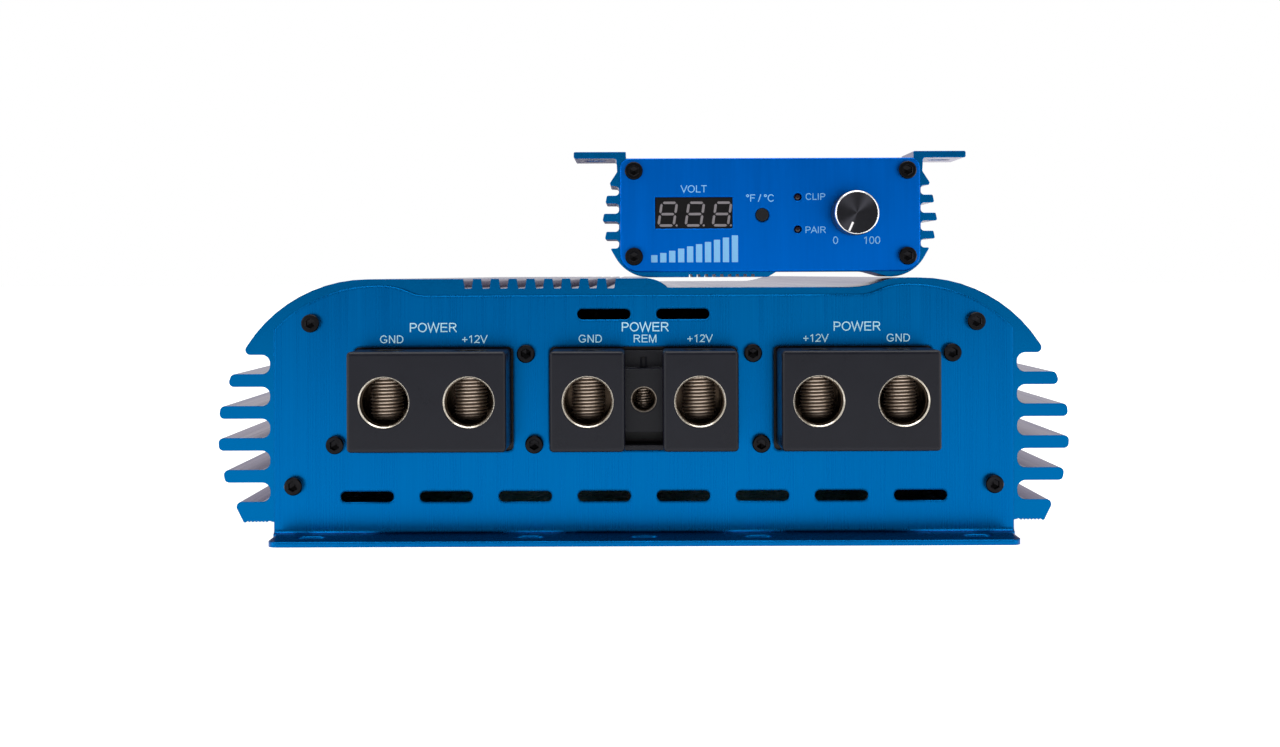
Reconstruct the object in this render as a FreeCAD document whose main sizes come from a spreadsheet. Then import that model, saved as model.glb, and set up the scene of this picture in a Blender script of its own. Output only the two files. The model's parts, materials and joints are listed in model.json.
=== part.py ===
import FreeCAD, Part
import math
import os
import re

from FreeCAD import Placement, Rotation, Vector

# Car amplifier: a finned aluminium extrusion closed by two folded end plates, with clamping
# power blocks on the front end, speaker blocks and controls on the rear end, the circuit inside,
# and its wired remote resting on the crown.
# X is across the fins, +Y runs from the power end to the speaker end, +Z is up.
# The origin is on the ground, under the centre of the whole.

DIMENSIONS = {
    # heatsink extrusion, across X and up Z; it runs along Y
    "extrusion_length": 520, "crown_height": 77.5, "shoulder_radius": 43, "shoulder_slope": 33,
    "shoulder_reach": 120.75, "shoulder_height": 54.9, "fin_root": 112.1, "fin_pitch": 9.58,
    "fin_thickness": 3.85, "fin_top": 49.15, "fin_root_radius": 2.5, "fin_tip_radius": 1.5,
    "skirt_reach": 123.2, "skirt_height": 10.83, "skirt_foot": 120.1, "skirt_bottom": 4.6,
    "tooth_count": 7, "tooth_pitch": 1.05, "tooth_depth": 0.5,
    "recess_floor": 74.7, "recess_left": 7.4, "recess_right": 66, "recess_rise": 9,
    "crown_slots": 9, "crown_slot_left": -54, "crown_slot_pitch": 5.35,
    "crown_slot_top": 2.93, "crown_slot_bottom": 2.1, "crown_slot_depth": 2.95,
    "cavity_half": 107.5, "ceiling": 70, "corner_inner": 94.5, "corner_bottom": 60,
    "ledge_inner": 97.5, "ledge_top": 19.9,
    # end plates: 1.6 mm sheet with a foot folded outwards
    "sheet": 1.6, "plate_half": 110.7, "plate_side": 62.5, "plate_top": 75.6, "plate_dip": 72.5,
    "plate_corner": 97.4, "plate_radius": 43, "dip_outer": 74.5, "dip_inner": 67.5,
    "foot_reach": 18, "foot_half": 109.3, "bend_radius": 1, "foot_corner": 3,
    "foot_slot_length": 8.6, "foot_slot_width": 5, "foot_slot_outer": 98, "foot_slot_inner": 33.5,
    "port_upper_x": 99.25, "port_upper_z": 64.4, "port_lower_x": 104.5, "port_lower_z": 15.85,
    "vent_length": 16, "vent_width": 3.2, "vent_pitch": 23.65, "vent_count": 8,
    "vent_low": 12.4, "vent_high": 66.8,
    # M3 fasteners
    "head_radius": 2.75, "head_height": 3, "shank_radius": 1.5, "shank_length": 10,
    "key_radius": 1.45, "key_depth": 1.8, "tapped_radius": 1.55, "passing_radius": 1.7,
    "pan_radius": 2.7, "pan_height": 1.6, "pan_shank": 8, "clamp_shank": 11.5,
    # terminal blocks
    "block_half": 23, "block_low": 27.5, "block_high": 56.6, "block_reach": 20.5,
    "block_inside": 9, "block_round": 1.2, "block_centre": 62.75, "rear_block_centre": 70,
    "bore_height": 42, "bore_spread": 12.25, "tower_inner": 5.5, "tower_outer": 27.3,
    "tower_bore": 16.2, "flange_thickness": 3, "ear_half": 3.8, "ear_outer": 29.3,
    "ear_inner": 27.7, "ear_low": 28.1, "ear_high": 55.1, "middle_ear": 32.65,
    "cutout_gap": 0.8, "cutout_low": 26, "cutout_high": 57.1,
    "power_bore": 7, "power_collar": 7.45, "power_screw": 4.9, "power_screw_length": 17,
    "speaker_bore": 4.6, "speaker_collar": 5.05, "speaker_screw": 3.4,
    "speaker_screw_length": 12, "screw_setback": 9, "thread_pitch": 1, "running_gap": 0.05,
    "bore_step": 0.2,
    "remote_wire_bore": 3.5, "remote_wire_screw": 2.4, "remote_wire_screw_length": 9.5,
    # boards and what stands on them
    "board": 1.6, "board_half": 106.5, "board_end": 252,
    "package_depth": 5, "package_width": 15.9, "package_height": 21, "package_pitch": 26,
    "package_count": 16, "pad_thickness": 0.4, "package_bottom": 32, "bar_thickness": 3,
    # rear controls
    "knob_radius": 3, "knob_reach": 5, "control_row": 50, "jack_row_high": 48.5,
    "jack_row_low": 34.5, "jack_radius": 4.15,
    # remote: its own extrusion, panels and controls, measured from its own centre
    "remote_centre": 38.7, "remote_front": -253.6, "remote_depth": 24, "remote_panel": 1.5,
    "remote_bottom": 77.75, "remote_top": 114, "remote_half": 45.6, "remote_ear_half": 59.7,
    "remote_ear": 2, "remote_rim": 0.35, "dial_hole": 3.6, "remote_fin_pitch": 5.5, "remote_fin_thickness": 2.4,
    "remote_screw_x": 41.4, "remote_screw_high": 110, "remote_screw_low": 84.05,
    "window_width": 23.6, "window_height": 9.6, "window_x": -23.2, "window_z": 97.3,
    "button_radius": 1.95, "button_x": -2.4, "button_z": 96.6,
    "lamp_radius": 1.15, "lamp_x": 8.4, "lamp_high": 102, "lamp_low": 92.2,
    "dial_radius": 6.45, "dial_x": 24.9, "dial_z": 96.8, "dial_depth": 11.5,
}

doc = FreeCAD.newDocument("car_amplifier")
sheet = doc.addObject("Spreadsheet::Sheet", "Dims")
for row, (alias, number) in enumerate(DIMENSIONS.items(), 1):
    sheet.set(f"A{row}", alias)
    sheet.set(f"B{row}", str(number))
    sheet.setAlias(f"B{row}", alias)
doc.recompute()


class Cells:
    """Reads a driving dimension back from the sheet, as in cell.sheet."""

    def __getattr__(self, alias):
        return float(getattr(sheet, alias))


cell = Cells()
nodes = []


# ---------------------------------------------------------------- ways of making a feature

def formula(text):
    """An expression on the sheet: every alias in the text becomes its cell."""
    return re.sub(r"[a-z][a-z_]*", lambda word: "Dims." + word.group(0), str(text))


def bind(feature, **sizes):
    for name, text in sizes.items():
        feature.setExpression(name, formula(text))
    return feature


def node(label, feature):
    """Names a finished sub-part and puts it on the list of what is exported."""
    feature.Label = label
    nodes.append(feature)
    return feature


def facing(direction, x=0, y=0, z=0):
    """A placement whose own Z axis points along direction."""
    return Placement(Vector(x, y, z), Rotation(Vector(0, 0, 1), Vector(*direction)))


UP, DOWN = (0, 0, 1), (0, 0, -1)
AHEAD, BEHIND = (0, -1, 0), (0, 1, 0)
HALF_TURN = Placement(Vector(0, 0, 0), Rotation(Vector(0, 0, 1), 180))


def primitive(kind, place, **sizes):
    feature = doc.addObject("Part::" + kind, kind)
    bind(feature, **sizes)
    feature.Placement = place
    return feature


def cylinder(radius, length, place):
    return primitive("Cylinder", place, Radius=radius, Height=length)


def block(low, size):
    """A box from its lowest corner, each size a formula."""
    place = Placement(Vector(*low), Rotation())
    return primitive("Box", place, Length=size[0], Width=size[1], Height=size[2])


def span(low, high):
    """A box between two corners whose places are already worked out from the cells."""
    return block(low, [high[i] - low[i] for i in range(3)])


def fused(parts):
    feature = doc.addObject("Part::MultiFuse", "Joined")
    feature.Shapes = parts
    feature.Refine = True
    return feature


def cut(base, tools):
    feature = doc.addObject("Part::Cut", "Cut")
    feature.Base = base
    feature.Tool = tools[0] if len(tools) == 1 else gathered(tools)
    return feature


def gathered(parts):
    feature = doc.addObject("Part::Compound", "Group")
    feature.Links = parts
    return feature


# ---------------------------------------------------------------- outlines

def rounded(points):
    """Closed outline of (x, y) or (x, y, corner radius) points as lines and tangent arcs."""
    corners = []
    count = len(points)
    for number in range(count):
        point = Vector(points[number][0], points[number][1], 0)
        radius = points[number][2] if len(points[number]) > 2 else 0
        if not radius:
            corners.append((point, None, point))
            continue
        before = Vector(*points[number - 1][:2], 0) - point
        after = Vector(*points[(number + 1) % count][:2], 0) - point
        half_angle = before.getAngle(after) / 2
        before.normalize()
        after.normalize()
        tangent = radius / math.tan(half_angle)
        middle = before + after
        middle.normalize()
        apex = point + middle * (radius / math.sin(half_angle) - radius)
        corners.append((point + before * tangent, apex, point + after * tangent))
    edges = []
    for number, (start, apex, end) in enumerate(corners):
        if apex:
            edges.append(Part.Arc(start, apex, end))
        following = corners[(number + 1) % count][0]
        if end.distanceToPoint(following) > 1e-6:
            edges.append(Part.LineSegment(end, following))
    return edges


def rectangle(x, y, width, height, radius=0):
    right, top = x + width / 2, y + height / 2
    left, bottom = x - width / 2, y - height / 2
    return rounded([(left, bottom, radius), (right, bottom, radius),
                    (right, top, radius), (left, top, radius)])


def slot(x, y, length, width):
    return rectangle(x, y, length, width, width / 2 - 1e-4)


def circle(x, y, radius):
    return [Part.Circle(Vector(x, y, 0), Vector(0, 0, 1), radius)]


def mirrored(points, centre=0):
    return [(2 * centre - point[0],) + tuple(point[1:]) for point in reversed(points)]


# ---------------------------------------------------------------- bodies made from a sketch

def sketch_in(body, plane, offset, outlines):
    role = plane + "_Plane"
    support = next(item for item in body.Origin.OriginFeatures if item.Role == role)
    sketch = body.newObject("Sketcher::SketchObject", "Outline")
    sketch.AttachmentSupport = [(support, "")]
    sketch.MapMode = "FlatFace"
    sketch.setExpression("AttachmentOffset.Base.z", formula(offset))
    for outline in outlines:
        sketch.addGeometry(outline, False)
    return sketch


def prism(plane, start, length, outlines):
    """A body padded from start, a place along the third axis, in that axis's own direction."""
    body = doc.addObject("PartDesign::Body", "Body")
    offset = f"-({start}) - ({length})" if plane == "XZ" else start
    sketch = sketch_in(body, plane, offset, outlines)
    pad = body.newObject("PartDesign::Pad", "Pad")
    pad.Profile = sketch
    bind(pad, Length=length)
    sketch.Visibility = False
    return body


def soften(body, side, place, radius):
    """Rounds every edge of the body that lies in one plane, such as side "Y" at place."""
    doc.recompute()
    base = body.Tip
    edges = []
    for number, edge in enumerate(base.Shape.Edges, 1):
        ends = (getattr(edge.BoundBox, side + "Min"), getattr(edge.BoundBox, side + "Max"))
        if max(abs(end - place) for end in ends) < 1e-3:
            edges.append(f"Edge{number}")
    fillet = body.newObject("PartDesign::Fillet", "Rim")
    fillet.Base = (base, edges)
    bind(fillet, Radius=radius)
    return body


def turned(outline, place, angle=360):
    """A body turned about its own Z axis from a half section of (radius, height) points."""
    body = doc.addObject("PartDesign::Body", "Turned")
    sketch = sketch_in(body, "XZ", 0, [rounded(outline)])
    revolution = body.newObject("PartDesign::Revolution", "Revolution")
    revolution.Profile = sketch
    revolution.ReferenceAxis = (sketch, ["V_Axis"])
    revolution.Angle = angle
    body.Placement = place
    return body


# ---------------------------------------------------------------- places worked out once

half_length = cell.extrusion_length / 2
face = half_length + cell.sheet
block_face = face + cell.block_reach
board_top = cell.ledge_top + cell.board
foot_middle = face + cell.foot_reach / 2 + 0.3
screw_line = block_face - cell.screw_setback
bottom_screw_rows = [-220, -110, 0, 110, 220]
board_screw_rows = [-235, -80, 80, 235]
package_rows = [(i - (cell.package_count - 1) / 2) * cell.package_pitch
                for i in range(int(cell.package_count))]
clamp_rows = [(i - 7) * cell.package_pitch for i in range(0, 15, 2)]
clamp_height = cell.package_bottom + 13


# ---------------------------------------------------------------- heatsink and covers

def crown_outline():
    """Top of the extrusion from left to right: nine slots, the recess, the right shoulder."""
    points = []
    for number in range(int(cell.crown_slots)):
        left = cell.crown_slot_left + number * cell.crown_slot_pitch
        narrow = (cell.crown_slot_top - cell.crown_slot_bottom) / 2
        right = left + cell.crown_slot_top
        bottom = cell.crown_height - cell.crown_slot_depth
        points += [(left, cell.crown_height), (left + narrow, bottom, 0.4),
                   (right - narrow, bottom, 0.4), (right, cell.crown_height)]
    drop = cell.crown_height - cell.recess_floor
    points += [(cell.recess_left - drop, cell.crown_height, 9),
               (cell.recess_left, cell.recess_floor),
               (cell.recess_right, cell.recess_floor, 28),
               (cell.recess_right + cell.recess_rise, cell.crown_height, 28)]
    return points


def side_outline():
    """Right side of the extrusion, from the shoulder down its fins to the serrated skirt."""
    slope = math.tan(math.radians(cell.shoulder_slope))
    root, tip, hollow = cell.fin_root, cell.fin_tip_radius, cell.fin_root_radius
    lean = (cell.crown_height - cell.shoulder_height) * slope
    points = [(cell.shoulder_reach - lean, cell.crown_height, cell.shoulder_radius),
              (cell.shoulder_reach, cell.shoulder_height, tip),
              (root, cell.shoulder_height, hollow)]
    reaches = [(123.7, 125), (127, 127.5), (127.7, 127.5), (126.3, 125.7)]
    for number, (upper, lower) in enumerate(reaches):
        top = cell.fin_top - number * cell.fin_pitch
        bottom = top - cell.fin_thickness
        points += [(root, top, hollow), (upper, top, tip), (lower, bottom, tip),
                   (root, bottom, hollow)]
    points += [(root, cell.skirt_height, hollow), (cell.skirt_reach, cell.skirt_height, tip),
               (cell.skirt_foot, cell.skirt_bottom, 0.3)]
    for number in range(int(cell.tooth_count)):
        tooth = cell.skirt_foot - 0.6 - number * cell.tooth_pitch
        points += [(tooth, cell.skirt_bottom),
                   (tooth - cell.tooth_pitch / 2, cell.skirt_bottom + cell.tooth_depth)]
    points += [(cell.plate_half, cell.skirt_bottom)]
    return points


def cavity_outline():
    """Right half of the hollow, from its open bottom up to the ceiling."""
    return [(cell.ledge_inner, cell.skirt_bottom), (cell.ledge_inner, cell.ledge_top, 0.5),
            (cell.cavity_half, cell.ledge_top, 1), (cell.cavity_half, cell.corner_bottom, 2),
            (cell.corner_inner, cell.corner_bottom, 1), (cell.corner_inner, cell.ceiling, 1)]


def screw_ports():
    return [(side * x, z) for side in (-1, 1)
            for x, z in ((cell.port_upper_x, cell.port_upper_z),
                         (cell.port_lower_x, cell.port_lower_z))]


def heatsink():
    right = side_outline() + cavity_outline()
    outline = mirrored(side_outline()) + crown_outline() + right + mirrored(cavity_outline())
    ports = [circle(x, z, cell.tapped_radius) for x, z in screw_ports()]
    profile = prism("XZ", "-extrusion_length / 2", "extrusion_length",
                    [rounded(outline)] + ports)
    holes = []
    for side in (-1, 1):
        holes += [cylinder("tapped_radius", 8.5, facing(UP, side * 100, y, cell.skirt_bottom - 1))
                  for y in bottom_screw_rows]
        holes += [cylinder("tapped_radius", 8, facing(UP, side * 100, y, cell.ledge_top - 7))
                  for y in board_screw_rows]
        holes += [cylinder("tapped_radius", 4.5,
                           facing((side, 0, 0), side * (cell.cavity_half - 1), y, clamp_height))
                  for y in clamp_rows]
    node("heatsink", cut(profile, holes))


def bottom_cover():
    holes = [circle(side * 100, y, cell.passing_radius)
             for side in (-1, 1) for y in bottom_screw_rows]
    louvres = [slot(x, y, 60, 4) for x in (-45, 45) for y in range(-180, 181, 20) if abs(y) > 30]
    outline = rectangle(0, 0, 2 * cell.plate_half - 1.4, cell.extrusion_length - 0.4, 1)
    node("bottom_cover", prism("XY", "skirt_bottom - sheet", "sheet", [outline] + holes + louvres))


def plate_outline():
    right = [(cell.dip_inner, cell.plate_dip, 12), (cell.dip_outer, cell.plate_top, 20),
             (cell.plate_corner, cell.plate_top, cell.plate_radius),
             (cell.plate_half, cell.plate_side, 1), (cell.plate_half, -1)]
    return rounded(mirrored(right) + right)


def vents():
    middle = (cell.vent_count - 1) / 2
    low = [slot((i - middle) * cell.vent_pitch, cell.vent_low, cell.vent_length, cell.vent_width)
           for i in range(int(cell.vent_count))]
    high = [slot(side * cell.vent_pitch / 2, cell.vent_high, cell.vent_length, cell.vent_width)
            for side in (-1, 1)]
    return low + high


def block_window(centre, half):
    return rectangle(centre, (cell.cutout_low + cell.cutout_high) / 2,
                     2 * (half + cell.cutout_gap), cell.cutout_high - cell.cutout_low, 1.5)


def folded_plate(label, openings, screws):
    """L-shaped plate at the front end: a fold along X, trimmed to its outline and pierced."""
    outer_bend = cell.bend_radius + cell.sheet
    toe = -(face + cell.foot_reach)
    fold = rounded([(-half_length, 80), (-half_length, 0, outer_bend), (toe, 0),
                    (toe, cell.sheet), (-face, cell.sheet, cell.bend_radius), (-face, 80)])
    bent = prism("YZ", "-plate_half", "2 * plate_half", [fold])
    holes = [circle(x, z, cell.passing_radius) for x, z in screw_ports() + screws]
    upright = prism("XZ", "-extrusion_length / 2 - foot_reach - 10", "foot_reach + 20",
                    [plate_outline()] + vents() + holes + openings)
    heel = -(face + cell.bend_radius + 0.4)
    plan = rounded([(cell.plate_half, -half_length + 1), (cell.plate_half, heel, 0.4),
                    (cell.foot_half, heel - 0.8, 0.4), (cell.foot_half, toe, cell.foot_corner),
                    (-cell.foot_half, toe, cell.foot_corner), (-cell.foot_half, heel - 0.8, 0.4),
                    (-cell.plate_half, heel, 0.4), (-cell.plate_half, -half_length + 1)])
    slots = [slot(x, -foot_middle, cell.foot_slot_length, cell.foot_slot_width)
             for x in (-cell.foot_slot_outer, -cell.foot_slot_inner, 0,
                       cell.foot_slot_inner, cell.foot_slot_outer)]
    foot = prism("XY", "-1", "plate_top + 5", [plan] + slots)
    plate = doc.addObject("Part::MultiCommon", "Plate")
    plate.Shapes = [bent, upright, foot]
    return node(label, plate)


def ear_places(centre):
    """The two screws of a block: low on its left and high on its right."""
    if not centre:
        return [(-cell.middle_ear, cell.ear_low), (cell.middle_ear, cell.ear_high)]
    left, right = ((cell.ear_outer, cell.ear_inner) if centre < 0
                   else (cell.ear_inner, cell.ear_outer))
    return [(centre - left, cell.ear_low), (centre + right, cell.ear_high)]


def socket_screw(place):
    """M3 cap screw: its head stands on the local XY plane, its shank points down."""
    head = cylinder("head_radius", "head_height", Placement())
    shank = cylinder("shank_radius", "shank_length", facing(DOWN))
    key = primitive("Prism", facing(UP, 0, 0, cell.head_height - cell.key_depth),
                    Circumradius="key_radius", Height="key_depth + 1")
    screw = cut(fused([head, shank]), [key])
    screw.Placement = place
    return screw


def pan_screw(place, length="pan_shank"):
    head = cylinder("pan_radius", "pan_height", Placement())
    shank = cylinder("shank_radius", length, facing(DOWN))
    recess = primitive("Prism", facing(UP, 0, 0, 0.6), Circumradius=1.2, Height=2)
    screw = cut(fused([head, shank]), [recess])
    screw.Placement = place
    return screw


FRONT_BLOCKS = (-cell.block_centre, 0, cell.block_centre)
REAR_BLOCKS = (-cell.rear_block_centre, cell.rear_block_centre)


def covers():
    front_windows = [block_window(-cell.block_centre, cell.block_half),
                     block_window(0, cell.tower_outer),
                     block_window(cell.block_centre, cell.block_half)]
    front_screws = [place for centre in FRONT_BLOCKS for place in ear_places(centre)]
    folded_plate("front_end_plate", front_windows, front_screws)

    rear_windows = [block_window(centre, cell.block_half) for centre in REAR_BLOCKS]
    rear_screws = [place for centre in REAR_BLOCKS for place in ear_places(centre)]
    # the rear plate is turned half round afterwards, so its X places are mirrored here
    controls = [circle(-x, z, cell.jack_radius + 0.4) for x, z in JACKS]
    controls += [circle(-x, cell.control_row, cell.knob_radius + 0.5) for x in KNOBS.values()]
    controls += [circle(-x, cell.jack_row_low, 1.65) for x in STATUS_LAMPS]
    controls += [rectangle(-SWITCH_X, cell.jack_row_low, 8.4, 4, 0.5),
                 rectangle(-LINK_X, cell.jack_row_low, 12.6, 12.6, 0.5)]
    rear = folded_plate("rear_end_plate", rear_windows + controls, rear_screws)
    rear.Placement = HALF_TURN

    heads = [socket_screw(facing(AHEAD, x, -face, z)) for x, z in screw_ports() + front_screws]
    heads += [socket_screw(facing(BEHIND, -x, face, z)) for x, z in screw_ports() + rear_screws]
    node("panel_screws", gathered(heads))

    under = cell.skirt_bottom - cell.sheet
    node("bottom_cover_screws", gathered([pan_screw(facing(DOWN, side * 100, y, under))
                                          for side in (-1, 1) for y in bottom_screw_rows]))


# ---------------------------------------------------------------- terminal blocks

def housing_shell(left, right):
    shell = prism("XZ", f"-{block_face}", "block_reach + sheet + block_inside",
                  [rectangle((left + right) / 2, (cell.block_low + cell.block_high) / 2,
                             right - left, cell.block_high - cell.block_low, cell.block_round)])
    return soften(shell, "Y", -block_face, "block_round - 0.1")


def flange(centre, half):
    """Plate behind the end plate, with an ear at each of its two screws."""
    back, front = -half_length + cell.flange_thickness, -half_length
    parts = [span((centre - half - 1.6, front, cell.cutout_low - 0.5),
                  (centre + half + 1.6, back, cell.cutout_high + 0.8))]
    for x, z in ear_places(centre):
        inner = centre + math.copysign(half - 2, x - centre)
        parts.append(span((min(inner, x - cell.ear_half), front, z - cell.ear_half),
                          (max(inner, x + cell.ear_half), back, z + cell.ear_half)))
    return parts


def terminal_hollows(x, bore, collar, screw):
    """What one terminal takes out of its housing: mouth, metal pocket and key hole."""
    return [cylinder(f"{collar} + running_gap", 4, facing(BEHIND, x, -block_face - 1,
                                                           cell.bore_height)),
            span((x - 9.05, -block_face + 2.1, cell.bore_height - 12.05),
                 (x + 9.05, -half_length + 12, cell.bore_height + 12.05)),
            cylinder(f"{screw} + 0.35", 10, facing(UP, x, -screw_line, cell.block_high - 5))]


def terminal(x, bore, collar, screw):
    """Plated brass clamp: a block with a collared wire bore, a tapped hole and a board tab."""
    back = -half_length + 10
    body = span((x - 9, -block_face + 2.1, cell.bore_height - 12),
                (x + 9, back, cell.bore_height + 12))
    ring = cylinder(collar, 3, facing(BEHIND, x, -block_face + 0.2, cell.bore_height))
    tab = span((x - 6, back, board_top), (x + 6, back + 3, cell.bore_height + 6))
    solid = fused([body, ring, tab])
    rim = facing(BEHIND, x, -block_face + 0.2, cell.bore_height)
    mouth = primitive("Cone", rim, Radius1=f"{collar} - 0.08", Radius2=bore, Height=0.4)
    guide = cylinder(bore, f"screw_setback - {screw} - 0.5", rim)
    hole = cylinder(f"{bore} - bore_step", 25.8, rim)
    tapped = cylinder(f"{screw} + running_gap", 20, facing(UP, x, -screw_line, cell.bore_height))
    return cut(solid, [mouth, guide, hole, tapped])


def set_screw(label, radius, length, place, pitch):
    """Socket set screw with thread ridges and a domed tip, its tip on the local origin."""
    root = radius - 0.6 * pitch
    points = [(0, 0), (root - 1, 0, 0.8), (root, 1.2)]
    turns = int((length - 2) / pitch)
    for number in range(turns):
        low = 1.4 + number * pitch
        points += [(root, low), (radius, low + 0.42 * pitch), (radius, low + 0.58 * pitch)]
    points += [(root, 1.4 + turns * pitch), (root, length), (0, length)]
    shaft = turned(points, Placement())
    key = primitive("Prism", facing(UP, 0, 0, length - radius), Circumradius=0.58 * radius,
                    Height=radius + 1)
    screw = cut(shaft, [key])
    screw.Placement = place
    return node(label, screw)


def pair_block(label, centre, bore, collar, screw, place=Placement()):
    """Outer block: one housing with two bores."""
    parts = [housing_shell(centre - cell.block_half, centre + cell.block_half)]
    parts += flange(centre, cell.block_half)
    tools = []
    for side in (-1, 1):
        tools += terminal_hollows(centre + side * cell.bore_spread, bore, collar, screw)
    tools += [cylinder("tapped_radius", 6, facing(BEHIND, x, -half_length - 1, z))
              for x, z in ear_places(centre)]
    housing = cut(fused(parts), tools)
    housing.Placement = place
    node(label, housing)


def middle_block():
    """Two towers with the small turn-on terminal set back between them."""
    setback = -face - 11
    inner = cell.tower_inner + 0.5
    back = -half_length + cell.block_inside
    parts = [housing_shell(side * 16.4 - 10.9, side * 16.4 + 10.9) for side in (-1, 1)]
    parts += [span((-inner, setback, 32.4), (inner, back, 51)),
              span((-inner, setback - 3, cell.block_low), (inner, back, 28.8)),
              span((-inner, -face - 2.5, cell.block_low), (inner, back, cell.block_high - 0.6))]
    parts += flange(0, cell.tower_outer)
    tools = []
    for side in (-1, 1):
        tools += terminal_hollows(side * cell.tower_bore, "power_bore", "power_collar",
                                  "power_screw")
    tools += [cylinder("remote_wire_bore + 0.3", 4, facing(BEHIND, 0, setback - 1,
                                                           cell.bore_height)),
              span((-4.25, setback + 1.2, 34.9), (4.25, back + 1, 48.6)),
              cylinder("remote_wire_screw + 0.3", 8, facing(UP, 0, setback + 6, 46))]
    tools += [cylinder("tapped_radius", 6, facing(BEHIND, x, -half_length - 1, z))
              for x, z in ear_places(0)]
    node("power_block_middle", cut(fused(parts), tools))


def turn_on_terminal():
    setback = -face - 11
    back = -half_length + 10
    solid = fused([span((-4.2, setback + 1.2, 35), (4.2, back, 48.5)),
                   span((-3, back, board_top), (3, back + 2, 44))])
    rim = facing(BEHIND, 0, setback + 1.2, cell.bore_height)
    guide = cylinder("remote_wire_bore", 2.2, rim)
    hole = cylinder("remote_wire_bore - bore_step", 16.8, rim)
    tapped = cylinder("remote_wire_screw + running_gap", 10,
                      facing(UP, 0, setback + 6, cell.bore_height))
    node("turn_on_terminal", cut(solid, [guide, hole, tapped]))
    set_screw("turn_on_set_screw", cell.remote_wire_screw, cell.remote_wire_screw_length,
              facing(UP, 0, setback + 6, 38.9), 0.8)


def terminal_blocks():
    power = ("power_bore", "power_collar", "power_screw")
    speaker = ("speaker_bore", "speaker_collar", "speaker_screw")
    pair_block("power_block_left", -cell.block_centre, *power)
    middle_block()
    pair_block("power_block_right", cell.block_centre, *power)
    turn_on_terminal()

    power_places = {
        "left_ground": -cell.block_centre - cell.bore_spread,
        "left_supply": -cell.block_centre + cell.bore_spread,
        "middle_ground": -cell.tower_bore,
        "middle_supply": cell.tower_bore,
        "right_supply": cell.block_centre - cell.bore_spread,
        "right_ground": cell.block_centre + cell.bore_spread,
    }
    node("power_terminals", gathered([terminal(x, *power) for x in power_places.values()]))
    tip = cell.bore_height - cell.power_bore + 1.4
    for name, x in power_places.items():
        set_screw(name + "_set_screw", cell.power_screw, cell.power_screw_length,
                  facing(UP, x, -screw_line, tip), cell.thread_pitch)

    for name, centre in zip(("right", "left"), REAR_BLOCKS):
        pair_block("speaker_block_" + name, centre, *speaker, place=HALF_TURN)
    rear_places = {
        "speaker_1": -cell.rear_block_centre - cell.bore_spread,
        "speaker_2": -cell.rear_block_centre + cell.bore_spread,
        "speaker_3": cell.rear_block_centre - cell.bore_spread,
        "speaker_4": cell.rear_block_centre + cell.bore_spread,
    }
    clamps = gathered([terminal(x, *speaker) for x in rear_places.values()])
    clamps.Placement = HALF_TURN
    node("speaker_terminals", clamps)
    tip = cell.bore_height - cell.speaker_bore + 1.2
    for name, x in rear_places.items():
        set_screw(name + "_set_screw", cell.speaker_screw, cell.speaker_screw_length,
                  facing(UP, -x, screw_line, tip), 1.25)


# ---------------------------------------------------------------- rear controls

JACKS = [(x, z) for x in (-34, -20) for z in (cell.jack_row_high, cell.jack_row_low)]
KNOBS = {"gain_knob": -4, "low_pass_knob": 8, "subsonic_knob": 20, "bass_knob": 32}
STATUS_LAMPS = (9, 15)
SWITCH_X = -3
LINK_X = 29
control_back = half_length - 16
control_face = control_back + cell.board


def phone_jack(x, y, z, depth, side):
    """Six-way link socket: a box with its mouth towards side, and the key way below."""
    near, far = sorted((y, y - side * depth))
    body = span((x - 6, near, z - 6), (x + 6, far, z + 6))
    mouth = sorted((y + side, y - side * 9))
    hollow = [span((x - 4.9, mouth[0], z - 3.6), (x + 4.9, mouth[1], z + 3.8)),
              span((x - 2.2, mouth[0], z - 4.8), (x + 2.2, mouth[1], z - 3.5))]
    return cut(body, hollow)


def input_jacks():
    core = [span((-38.3, control_face, 27.5), (-12, half_length - 1, 55.5))]
    core += [cylinder("jack_radius - 0.7", 14, facing(BEHIND, x, half_length - 2, z))
             for x, z in JACKS]
    bores = [cylinder(1.6, 12, facing(BEHIND, x, half_length + 2, z)) for x, z in JACKS]
    node("input_jack_housing", cut(fused(core), bores))
    sleeves = []
    for x, z in JACKS:
        shell = fused([cylinder("jack_radius", 13, facing(BEHIND, x, half_length - 1, z)),
                       cylinder("jack_radius + 0.2", 3.4, facing(BEHIND, x, half_length - 1, z))])
        hollow = cylinder("jack_radius - 0.7", 15, facing(BEHIND, x, half_length - 2, z))
        sleeves.append(cut(shell, [hollow]))
    node("input_jack_sleeves", gathered(sleeves))


def knobs():
    """Four potentiometers on the control board and the slotted knob of each."""
    bodies = []
    for label, x in KNOBS.items():
        case = span((x - 4.75, control_face, cell.control_row - 4.75),
                    (x + 4.75, control_face + 7, cell.control_row + 4.75))
        well = cylinder(1.8, 6, facing(BEHIND, x, control_face + 2, cell.control_row))
        bodies.append(cut(case, [well]))
        start = control_face + 7.2
        top = face + cell.knob_reach
        skirt = turned([(0, 0), (cell.knob_radius, 0), (cell.knob_radius, top - start, 0.5),
                        (0, top - start)], Placement())
        stem = cylinder(1.75, 4.2, facing(DOWN))
        blade = block((-4, -0.5, top - start - 1.3), (8, 1, 3))
        knob = cut(fused([skirt, stem]), [blade])
        knob.Placement = facing(BEHIND, x, start, cell.control_row)
        node(label, knob)
    node("potentiometers", gathered(bodies))


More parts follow.
